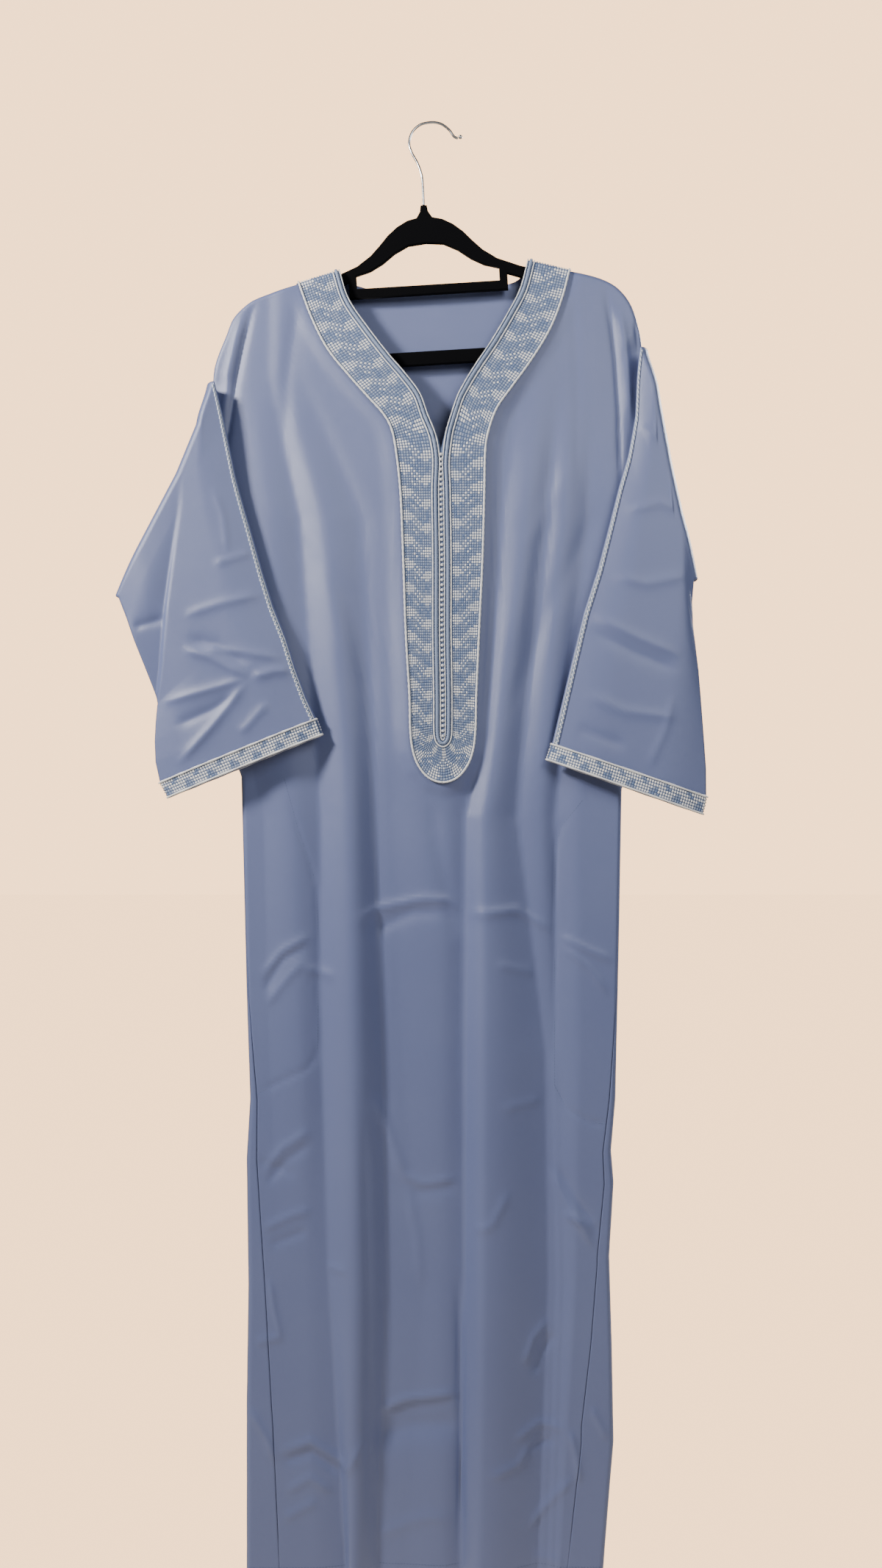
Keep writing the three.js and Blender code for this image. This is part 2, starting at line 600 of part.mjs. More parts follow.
// ---- hanger: half of its outline about its own centre line, before it tilts ----
const HANGER = {
  centre: [-8, -109],
  tilt: (3.5 * Math.PI) / 180,
  thickness: 5.5,
  bevel: 1.3,
  outer: [[3.6, 15], [4.6, 8], [9, 1], [20, -1.5], [32, -8], [43, -17], [53, -28], [64, -39], [80, -50],
    [105, -60],
    [150, -74], [186, -85], [201, -94.5], [210, -105], [215, -118], [215, -134], [209, -149],
      [197, -160], [180, -166.5]],
  loop: [[0, -28], [20, -30], [36, -38], [50, -48.5], [65, -56.5], [81.5, -61], [81.5, -75.5]],
  gap: [[0, -86.5], [90.5, -86.5], [90.5, -68], [150, -88.5], [184, -100], [194, -108], [199, -119],
    [199, -134],
    [194, -145], [184, -151], [0, -151]],
};
const mirrored = (half) => half.concat(half.filter(([x]) => x !== 0).reverse().map(([x, z]) => [-x, z]));

function hangerBody() {
  const shape = new THREE.Shape(mirrored(HANGER.outer).map(([x, z]) => new THREE.Vector2(x, z)));
  for (const half of [HANGER.loop, HANGER.gap])
    shape.holes.push(new THREE.Path(mirrored(half).reverse().map(([x, z]) => new THREE.Vector2(x, z))));
  const geometry = new THREE.ExtrudeGeometry(shape, {
    depth: HANGER.thickness - 2 * HANGER.bevel,
    bevelEnabled: true,
    bevelThickness: HANGER.bevel,
    bevelSize: HANGER.bevel,
    bevelOffset: -HANGER.bevel,
    bevelSegments: 2,
  });
  geometry.rotateX(Math.PI / 2);
  geometry.translate(0, HANGER.thickness / 2 - HANGER.bevel, 0);
  return geometry;
}

// ---- hook: one wire from the hanger's collar, round over the origin, to a ball tip ----
const WIRE = 2.8;
const HOOK_PATH = [[-8.8, -93.6], [-9.6, -76], [-11, -60], [-15.5, -46], [-22.5, -33], [-25.5, -22],
  [-22, -10], [-13, -1.5], [0, WIRE / 2], [11, -0.5], [20, -7], [25.5, -14.5], [30, -17]];
const TIP_RADIUS = 2.3;
const TIP = [33, -15.3];

function hookWire() {
  const path = new THREE.CatmullRomCurve3(HOOK_PATH.map(([x, z]) => new THREE.Vector3(x, 0, z)));
  const section = new THREE.Shape();
  section.absarc(0, 0, WIRE / 2, 0, 2 * Math.PI);
  return new THREE.ExtrudeGeometry(section, { steps: 44, curveSegments: 4, extrudePath: path });
}

add("front", wall(bodyPanel(-1), CLOTH / 2, CLOTH / 2), "cloth");
add("back", wall(bodyPanel(1), CLOTH / 2, CLOTH / 2), "cloth");
add("neck_band", laidOn(bandHalf("left").concat(bandHalf("right")), BAND_GAP, TRIM), "band");
for (const side of ["left", "right"]) {
  const rings = sleeveRings(side);
  const turned = side === "right";
  const cuff = rings.slice(FOLD_STEPS + CUFF_ROW);
  const edge = rings.slice(FOLD_STEPS, FOLD_STEPS + CUFF_ROW).map((ring) => ring.slice(-4, -2));
  add(side + "_sleeve", wall(quadsOf(rings, turned), CLOTH / 2, CLOTH / 2), "cloth");
  add(side + "_cuff_band", laidOn(quadsOf(cuff, turned), BAND_GAP, TRIM), "band");
  add(side + "_braid", laidOn(quadsOf(edge, turned), BAND_GAP, TRIM), "braid");
  add(side + "_pocket_bag", bag(side), "cloth");
}
const hanger = new THREE.Group();
hanger.position.set(HANGER.centre[0], 0, HANGER.centre[1]);
hanger.rotation.y = -HANGER.tilt;
thobe.add(hanger);
const hangerMesh = new THREE.Mesh(hangerBody(), new THREE.MeshStandardMaterial(materials.flock));
hangerMesh.name = "hanger";
hanger.add(hangerMesh);
add("hook", hookWire(), "steel");
const tip = new THREE.SphereGeometry(TIP_RADIUS, 12, 8);
tip.translate(TIP[0], 0, TIP[1]);
add("hook_tip", tip, "steel");

export default thobe;
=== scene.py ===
"""A thobe hanging from a slim flocked hanger. Sizes are in millimetres until a mesh is made."""
import math

import bmesh
import bpy
import numpy as np
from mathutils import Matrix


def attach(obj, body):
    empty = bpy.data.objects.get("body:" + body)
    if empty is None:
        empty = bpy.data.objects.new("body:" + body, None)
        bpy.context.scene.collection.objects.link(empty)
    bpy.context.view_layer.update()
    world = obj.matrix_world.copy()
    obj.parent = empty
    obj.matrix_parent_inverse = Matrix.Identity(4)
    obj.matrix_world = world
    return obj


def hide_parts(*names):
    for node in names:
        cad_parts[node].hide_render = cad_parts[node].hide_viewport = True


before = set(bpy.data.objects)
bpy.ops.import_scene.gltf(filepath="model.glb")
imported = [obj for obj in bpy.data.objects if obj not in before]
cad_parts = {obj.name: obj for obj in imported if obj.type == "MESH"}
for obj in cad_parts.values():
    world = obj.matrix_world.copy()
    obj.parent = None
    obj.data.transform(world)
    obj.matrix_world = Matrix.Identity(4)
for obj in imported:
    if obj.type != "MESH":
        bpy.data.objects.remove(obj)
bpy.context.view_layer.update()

# ---- studio: a level camera square to the garment, a plain pale floor and backdrop, and soft
# light: a small key from the upper left, a wide fill in front and another behind ----
LENS, SENSOR, EYE = 27.18, 36.0, (0.0109, -1.35, -0.7531)
FLOOR_Z, FLOOR_REACH = -2.0, 12.0
BACKDROP, FLOOR_SHARE = (3.6, 2.2, 1.15), 0.94
AMBIENT, AMBIENT_COLOUR = 0.15, (0.95, 0.97, 1.0, 1)

scene = bpy.context.scene
camera_data = bpy.data.cameras.new("camera")
camera_data.lens = LENS
camera_data.sensor_width = SENSOR
camera_data.dof.use_dof = False
camera = bpy.data.objects.new("camera", camera_data)
camera.location = EYE
camera.rotation_euler = (math.pi / 2, 0, 0)
scene.collection.objects.link(camera)
scene.camera = camera


def plain_material(name, colour, roughness, sheen=0.0):
    """A material with one Principled shader; returns it, its shader and its node tree."""
    material = bpy.data.materials.new(name)
    material.use_nodes = True
    shader = material.node_tree.nodes["Principled BSDF"]
    shader.inputs["Base Color"].default_value = (*colour, 1)
    shader.inputs["Roughness"].default_value = roughness
    shader.inputs["Sheen Weight"].default_value = sheen
    return material, shader, material.node_tree


def add_node(tree, kind, **values):
    """A shader node of one kind with the named inputs set."""
    node = tree.nodes.new("ShaderNode" + kind)
    for name, value in values.items():
        node.inputs[name].default_value = value
    return node


floor_mesh = bpy.data.meshes.new("floor")
floor_mesh.from_pydata(
    [(x * FLOOR_REACH, y * FLOOR_REACH, FLOOR_Z) for x, y in ((-1, -1), (1, -1), (1, 1), (-1, 1))],
    [], [(0, 1, 2, 3)])
floor = bpy.data.objects.new("floor", floor_mesh)
scene.collection.objects.link(floor)


def seen_mix(tree, lit, plain, output):
    """What is seen directly is the plain pale colour; what lights the garment is dimmer."""
    seen, blend = add_node(tree, "LightPath"), add_node(tree, "MixShader")
    tree.links.new(seen.outputs["Is Camera Ray"], blend.inputs[0])
    tree.links.new(lit.outputs[0], blend.inputs[1])
    tree.links.new(plain.outputs[0], blend.inputs[2])
    tree.links.new(blend.outputs[0], tree.nodes[output].inputs["Surface"])


floor_paint, floor_shader, floor_tree = plain_material("floor_paint", (0.74, 0.68, 0.60), 0.9)
floor_glow = add_node(floor_tree, "Emission", Color=(*(FLOOR_SHARE * c for c in BACKDROP), 1))
seen_mix(floor_tree, floor_shader, floor_glow, "Material Output")
floor_mesh.materials.append(floor_paint)

world = bpy.data.worlds.new("studio")
scene.world = world
world.use_nodes = True
ambient = world.node_tree.nodes["Background"]
ambient.inputs["Color"].default_value = AMBIENT_COLOUR
ambient.inputs["Strength"].default_value = AMBIENT
wall_colour = add_node(world.node_tree, "Background", Color=(*BACKDROP, 1))
seen_mix(world.node_tree, ambient, wall_colour, "World Output")


def soft_light(name, place, target, size, power, colour=(1, 1, 1)):
    """A square area light at place, turned to face target."""
    data = bpy.data.lights.new(name, "AREA")
    data.size = size
    data.energy = power
    data.color = colour
    light = bpy.data.objects.new(name, data)
    light.location = place
    aim = np.array(target, float) - np.array(place, float)
    flat = math.hypot(aim[0], aim[1])
    light.rotation_euler = (math.atan2(flat, -aim[2]), 0, math.atan2(aim[1], aim[0]) - math.pi / 2)
    scene.collection.objects.link(light)


soft_light("key", (-1.45, -0.9, 0.35), (0.05, 0, -0.6), 0.3, 60, (1.0, 0.96, 0.91))
soft_light("front_fill", (0.9, -1.5, 0.3), (0.1, 0, -0.45), 0.9, 16, (0.97, 0.98, 1.0))
soft_light("back_fill", (1.9, 1.5, 0.5), (0, 0, -0.8), 0.8, 60)

# ---- the hanger: one thin flocked board with rounded edges, its steel hook screwed in
# and turned over at the top, ending in a small ball ----
HANGER_CENTRE = (-8, -109)
HANGER_TILT = math.radians(3.5)
HANGER_THICK, HANGER_BEVEL = 5.5, 1.3
HANGER_OUTER = [(3.6, 15), (4.6, 8), (9, 1), (20, -1.5), (32, -8), (43, -17), (53, -28), (64, -39),
                (80, -50), (105, -60), (150, -74), (186, -85), (201, -94.5), (210, -105),
                (215, -118), (215, -134), (209, -149), (197, -160), (180, -166.5)]
HANGER_LOOP = [(0, -28), (20, -30), (36, -38), (50, -48.5), (65, -56.5), (81.5, -61), (81.5, -75.5)]
HANGER_GAP = [(0, -86.5), (90.5, -86.5), (90.5, -68), (150, -88.5), (184, -100), (194, -108),
              (199, -119), (199, -134), (194, -145), (184, -151), (0, -151)]
HOOK_PATH = [(-8.8, -93.6), (-9.6, -76), (-11, -60), (-15.5, -46), (-22.5, -33), (-25.5, -22),
             (-22, -10), (-13, -1.5), (0, 1.4), (11, -0.5), (20, -7), (25.5, -14.5), (30, -17)]
HOOK_TIP, HOOK_TIP_RADIUS, WIRE = (33, -15.3), 2.3, 2.8


def link_mesh(name, vertices, faces, materials, smooth=True):
    """A mesh object from vertices in millimetres, shaded smooth."""
    mesh = bpy.data.meshes.new(name)
    quads = faces if isinstance(faces, list) else faces.tolist()
    mesh.from_pydata((np.asarray(vertices, float) * 0.001).tolist(), [], quads)
    mesh.polygons.foreach_set("use_smooth", np.full(len(mesh.polygons), smooth))
    for material in materials:
        mesh.materials.append(material)
    mesh.update()
    piece = bpy.data.objects.new(name, mesh)
    scene.collection.objects.link(piece)
    return piece


def grid_faces(rows, columns, around=False, first=0):
    """Quads of a rows by columns grid of vertices; around joins the last column to the first."""
    ids = first + np.arange(rows * columns).reshape(rows, columns)
    if around:
        ids = np.concatenate([ids, ids[:, :1]], axis=1)
    quads = np.stack([ids[:-1, :-1], ids[1:, :-1], ids[1:, 1:], ids[:-1, 1:]], axis=-1)
    return quads.reshape(-1, 4)


def run_along(points):
    """Length along a line up to each of its points."""
    steps = np.linalg.norm(np.diff(points, axis=0), axis=1)
    return np.concatenate([[0], np.cumsum(steps)])


def smooth_line(points, count, after=None):
    """A smooth curve through the points: a cubic between each pair whose ends take the slope of
    their neighbours, sampled at even steps of length. after is the point it would go on to."""
    p = np.asarray(points, float)
    after = 2 * p[-1:] - p[-2:-1] if after is None else np.asarray([after], float)
    p = np.concatenate([2 * p[:1] - p[1:2], p, after])
    t = np.linspace(0, 1, 24, endpoint=False)[None, :, None]
    a, b, c, d = (p[i:len(p) - 3 + i, None, :] for i in range(4))
    curve = 0.5 * (2 * b + (c - a) * t + (2 * a - 5 * b + 4 * c - d) * t**2
                   + (3 * b - a - 3 * c + d) * t**3)
    curve = np.concatenate([curve.reshape(-1, p.shape[1]), p[-2:-1]])
    run = run_along(curve)
    want = np.linspace(0, run[-1], count)
    return np.stack([np.interp(want, run, curve[:, i]) for i in range(p.shape[1])], axis=1)


def tube(path, radius, sides=10, twist=0.0, lobes=0.0, first=0):
    """A round tube along path: a ring of points about each path point, square to the path. lobes
    swells the ring into two strands that turn about the path once each twist millimetres.
    The ends close in a point on the path."""
    path = np.asarray(path, float)
    ahead = np.gradient(path, axis=0)
    ahead /= np.linalg.norm(ahead, axis=1, keepdims=True)
    side = np.cross(ahead, (0, 1, 0))
    side /= np.linalg.norm(side, axis=1, keepdims=True)
    out = np.cross(side, ahead)
    run = run_along(path)
    turn = np.linspace(0, 2 * math.pi, sides, endpoint=False)[None, :]
    spin = 2 * math.pi * run[:, None] / twist if twist else 0 * run[:, None]
    reach = radius * (1 + lobes * np.cos(2 * (turn - spin)))
    ring = path[:, None, :] + reach[..., None] * (
        np.cos(turn)[..., None] * side[:, None, :] + np.sin(turn)[..., None] * out[:, None, :])
    vertices = np.concatenate([ring.reshape(-1, 3), path[:1], path[-1:]])
    start, end = first + len(vertices) - 2, first + len(vertices) - 1
    faces = grid_faces(len(path), sides, around=True, first=first).tolist()
    last = first + (len(path) - 1) * sides
    faces += [(start, first + i, first + (i + 1) % sides) for i in range(sides)]
    faces += [(end, last + (i + 1) % sides, last + i) for i in range(sides)]
    return vertices, faces


def object_noise(tree, **values):
    """A noise texture that stays fixed on the piece; returns its value."""
    noise = add_node(tree, "TexNoise", **values)
    tree.links.new(add_node(tree, "TexCoord").outputs["Object"], noise.inputs["Vector"])
    return noise.outputs["Fac"]


def raise_surface(tree, shader, height, **values):
    """A bump on the shader's surface from a height."""
    bump = add_node(tree, "Bump", **values)
    tree.links.new(height, bump.inputs["Height"])
    tree.links.new(bump.outputs["Normal"], shader.inputs["Normal"])


def set_sheen(shader, roughness, tint, specular):
    """The soft edge light of cloth and flock, and how much the surface mirrors."""
    shader.inputs["Sheen Roughness"].default_value = roughness
    shader.inputs["Sheen Tint"].default_value = (*tint, 1)
    shader.inputs["Specular IOR Level"].default_value = specular


def dress(piece, node):
    """The piece rides with the garment and stands in for one solid."""
    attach(piece, "root")
    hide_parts(node)


flock, flock_shader, flock_tree = plain_material("black_flock", (0.0015, 0.0015, 0.002), 0.95, 0.08)
set_sheen(flock_shader, 0.6, (0.35, 0.36, 0.40), 0.04)
fibres = object_noise(flock_tree, Scale=2600, Detail=3)
raise_surface(flock_tree, flock_shader, fibres, Distance=0.0003, Strength=0.5)


def both_sides(half):
    """A half outline and its mirror image, as one closed ring turned by the hanger's tilt."""
    ring = np.array(half + [(-x, z) for x, z in reversed(half) if x], float)
    turn = np.array([[math.cos(HANGER_TILT), math.sin(HANGER_TILT)],
                     [-math.sin(HANGER_TILT), math.cos(HANGER_TILT)]])
    return ring @ turn + HANGER_CENTRE


board_curve = bpy.data.curves.new("hanger_outline", "CURVE")
board_curve.dimensions = "2D"
board_curve.fill_mode = "BOTH"
board_curve.extrude = (HANGER_THICK / 2 - HANGER_BEVEL) * 0.001
board_curve.bevel_depth = HANGER_BEVEL * 0.001
board_curve.bevel_resolution = 3
board_curve.offset = -HANGER_BEVEL * 0.001
for half in (HANGER_OUTER, HANGER_LOOP, HANGER_GAP):
    ring = both_sides(half)
    spline = board_curve.splines.new("POLY")
    spline.points.add(len(ring) - 1)
    flat = np.c_[ring * 0.001, np.zeros(len(ring)), np.ones(len(ring))]
    spline.points.foreach_set("co", flat.astype(np.float32).ravel())
    spline.use_cyclic_u = True
board_object = bpy.data.objects.new("hanger_outline", board_curve)
scene.collection.objects.link(board_object)
depsgraph = bpy.context.evaluated_depsgraph_get()
board_mesh = bpy.data.meshes.new_from_object(board_object.evaluated_get(depsgraph))
corners = np.empty(len(board_mesh.vertices) * 3, np.float32)
board_mesh.vertices.foreach_get("co", corners)
corners = corners.reshape(-1, 3)
upright = np.c_[corners[:, 0], -corners[:, 2], corners[:, 1]]
board_mesh.vertices.foreach_set("co", upright.astype(np.float32).ravel())
board_mesh.update()
bpy.data.objects.remove(board_object)
board = bpy.data.objects.new("hanger_board", board_mesh)
board_mesh.materials.clear()
board_mesh.materials.append(flock)
scene.collection.objects.link(board)
dress(board, "hanger")

steel, steel_shader, steel_tree = plain_material("hook_steel", (0.62, 0.63, 0.65), 0.22)
steel_shader.inputs["Metallic"].default_value = 1.0
wear = add_node(steel_tree, "MapRange", **{"To Min": 0.16, "To Max": 0.34})
steel_tree.links.new(object_noise(steel_tree, Scale=900), wear.inputs["Value"])
steel_tree.links.new(wear.outputs["Result"], steel_shader.inputs["Roughness"])

hook_line = smooth_line(HOOK_PATH, 140)
hook_line = np.c_[hook_line[:, 0], np.zeros(len(hook_line)), hook_line[:, 1]]
wire = link_mesh("hook_wire", *tube(hook_line, WIRE / 2, 16), [steel])
dress(wire, "hook")


def ball(centre, radius, rows=8, columns=16):
    """A ball as rings of points down from pole to pole, closed by a point at each pole."""
    down = np.linspace(0, math.pi, rows + 2)[1:-1, None]
    turn = np.linspace(0, 2 * math.pi, columns, endpoint=False)[None, :]
    points = np.stack([np.sin(down) * np.cos(turn), np.sin(down) * np.sin(turn),
                       np.cos(down) + 0 * turn], axis=-1)
    points = np.concatenate([points.reshape(-1, 3), [(0, 0, 1)], [(0, 0, -1)]])
    last, top = (rows - 1) * columns, rows * columns
    faces = grid_faces(rows, columns, True).tolist()
    faces += [(top, i, (i + 1) % columns) for i in range(columns)]
    faces += [(top + 1, last + (i + 1) % columns, last + i) for i in range(columns)]
    return points * radius + np.asarray(centre, float), faces


tip_ball = ball((HOOK_TIP[0], 0, HOOK_TIP[1]), HOOK_TIP_RADIUS)
dress(link_mesh("hook_ball", *tip_ball, [steel]), "hook_tip")

# ---- the body: a front and a back panel of smooth soft-sheen cloth, sewn at the shoulders and
# down the sides; the back comes a little way round to the front low down. It hangs in long
# folds from the shoulders and keeps the short creases it was packed with ----
CLOTH = 1.1
# The two sides, and which way along x leads in from each.
SIDES, INWARD = ("left", "right"), {"left": 1, "right": -1}
CENTRE_X, UNDERARM_Z, HEM_Z, V_Z = 11, -535, -1650, -377
# Shares of a panel's rows: above the underarm, and of those beside the V.
UPPER_SHARE, V_SHARE = 0.27, 0.55
# How a panel's rows and columns crowd together, and how soon rows level out and edges wrap.
EVEN_SHARE, CROWDED_SHARE, ROW_CROWD = 0.45, 0.55, 1.25
TOP_FADE, LEAN_FADE, WRAP_FADE = 1.5, 4.25, 0.01
SIDE_GAP, SIDE_ROUND, SIDE_QUARTER = 0.6, 5, 10.3
# Share of the side gap that stays open at each height.
SEAM_CLOSES = [(1, -1600), (0.1, -1634)]
SHOULDER_SEAM, SHOULDER_ROUND = 0.4, 5
ARMHOLE_BLEND, EDGE_GAP, EDGE_CAP, FRONT_EASE, BACK_EASE = 25, 1.2, 60, 1.8, 7.8
SHOULDER = {
    "left": [(-249, -303), (-247, -281), (-242, -264), (-233, -242), (-226, -224), (-213, -210),
             (-197, -200), (-153, -185), (-104, -170)],
    "right": [(240, -264), (238, -246), (234, -228), (228, -210), (219, -196), (207, -185),
              (189, -177), (160, -170), (109, -158)]}
NECK_POINTS = {
    "left": [(-104, -170), (-93, -204), (-71, -237), (-48, -267), (-30, -288), (-13, -311),
             (-4, -335), (3, -355), (11, V_Z)],
    "right": [(109, -158), (100, -192), (86, -220), (68, -251), (50, -278), (36, -301), (26, -323),
              (19, -346), (11, V_Z)]}
BACK_NECK_Z = -188
BACK_NECK = {"left": [(-93, -179), (-61, -188), (11, BACK_NECK_Z)],
             "right": [(100, -175), (78, -183), (11, BACK_NECK_Z)]}
ARMHOLE = {
    "left": [(-249, -303), (-256, -352), (-279, -408), (-350, -543)],
    "right": [(240, -264), (250, -330), (262, -395), (274, -450), (294, -523)]}
OUTLINE = {
    "left": [(-350, -543), (-318, -590), (-270, -650), (-232, -705), (-216, -744), (-213, -864),
             (-210, -991), (-206, -1111), (-210, -1179), (-208, -1323), (-210, -1457),
             (-210, HEM_Z)],
    "right": [(294, -523), (283, -570), (262, -640), (236, -700), (216, -759), (213, -928),
              (209, -1111), (204, -1170), (207, -1206), (202, -1290), (205, -1391), (207, -1500),
              (200, -1585), (195, HEM_Z)]}
WRAP = {
    "left": [(1.6, -543), (2, -744), (4, -880), (8, -1000), (14, -1111), (25, -1323), (36, -1480),
             (44, HEM_Z)],
    "right": [(1.6, -523), (2, -759), (4, -900), (8, -1010), (13, -1111), (20, -1300), (30, -1391),
              (42, -1480), (47, HEM_Z)]}
LEVELS = [-290, -450, -700, -790, -1060, -1320, HEM_Z]
# Each fold line from side to side: its x, then its depth, at each level.
FRONT_FOLDS = [
    ((-222, -262, -212, -190, -184, -172, -158), (-5, -8, -8, -8, -8, -9, -10)),
    ((-205, -184, -166, -158, -151, -143, -135), (-6, -13, -13, -13, -11, -9, -10)),
    ((-185, -151, -131, -126, -124, -116, -97), (-6, -7, -7, -6, -4, -6, -5)),
    ((-168, -120, -96, -92, -87, -86, -89), (-8, -15, -18, -19, -21, -21, -19)),
    ((-150, -82, -68, -65, -54, -50, -62), (-8, -9, -5, -4, -1, 0, -1)),
    ((-130, -55, -48, -44, -36, -9, -30), (-9, -12, -8, -6, -2, -1, -3)),
    ((11, 12, 13, 13, 11, 13, 11), (-13, -15, -15, -12, -6, -3, -6)),
    ((100, 77, 58, 39, 37, 37, 33), (-8, -9, -8, -6, -1, 0, -1)),
    ((125, 106, 76, 61, 62, 61, 57), (-9, -15, -17, -19, -20, -20, -19)),
    ((145, 131, 104, 97, 130, 133, 121), (-8, -8, -7, -7, -1, 0, -1)),
    ((162, 151, 129, 123, 136, 141, 131), (-8, -14, -13, -11, -2, -1, -3)),
    ((180, 177, 148, 140, 142, 150, 139), (-7, -8, -6, -6, -4, -4, -6)),
    ((200, 205, 178, 170, 171, 165, 146), (-6, -10, -12, -12, -11, -10, -9))]
BACK_FOLDS = [
    ((-205, -250, -200, -190, -185, -185, -188), (8, 9, 9, 9, 9, 9, 9)),
    ((-150, -170, -150, -145, -140, -140, -145), (9, 13, 15, 16, 18, 20, 21)),
    ((-90, -100, -95, -95, -90, -85, -90), (10, 13, 15, 15, 15, 14, 14)),
    ((-30, -40, -40, -40, -35, -35, -30), (11, 16, 19, 20, 21, 22, 23)),
    ((11, 12, 13, 13, 11, 13, 11), (11, 14, 16, 16, 15, 15, 15)),
    ((50, 62, 65, 65, 60, 60, 62), (11, 16, 19, 19, 21, 22, 22)),
    ((100, 115, 110, 110, 112, 110, 108), (10, 13, 15, 15, 14, 14, 14)),
    ((150, 175, 160, 155, 155, 155, 150), (9, 13, 15, 16, 18, 20, 20)),
    ((205, 240, 200, 190, 188, 185, 175), (8, 9, 9, 9, 9, 9, 9))]
BAND_OUTER = {
    "left": [(-152, -185), (-136, -228), (-118, -263), (-94, -293), (-71, -319), (-55, -337),
             (-46, -354), (-41, -379), (-36, -426), (-33, -498), (-30, -584), (-26, -652),
             (-25, -692), (-22, -716), (-15, -734), (-3, -747.5), (13, -752.5)],
    "right": [(158, -170), (149, -204), (135, -240), (114, -275), (91, -307), (75, -330),
              (66, -354), (62, -379), (61, -426), (59, -498), (55, -584), (52, -652), (51, -692),
              (48, -716), (41, -734), (29, -747.5), (13, -752.5)]}
BAND_DEPTH = [(-6, -170), (-11, -250), (-15, -380), (-16, -600), (-15, HEM_Z)]
BAND_END_Z, BAND_STIFF, VALLEY = -752, 18, 0.55
MIDDLE_FOLD = 6
CREASE_END, CREASE_TAIL = 0.25, 1.5
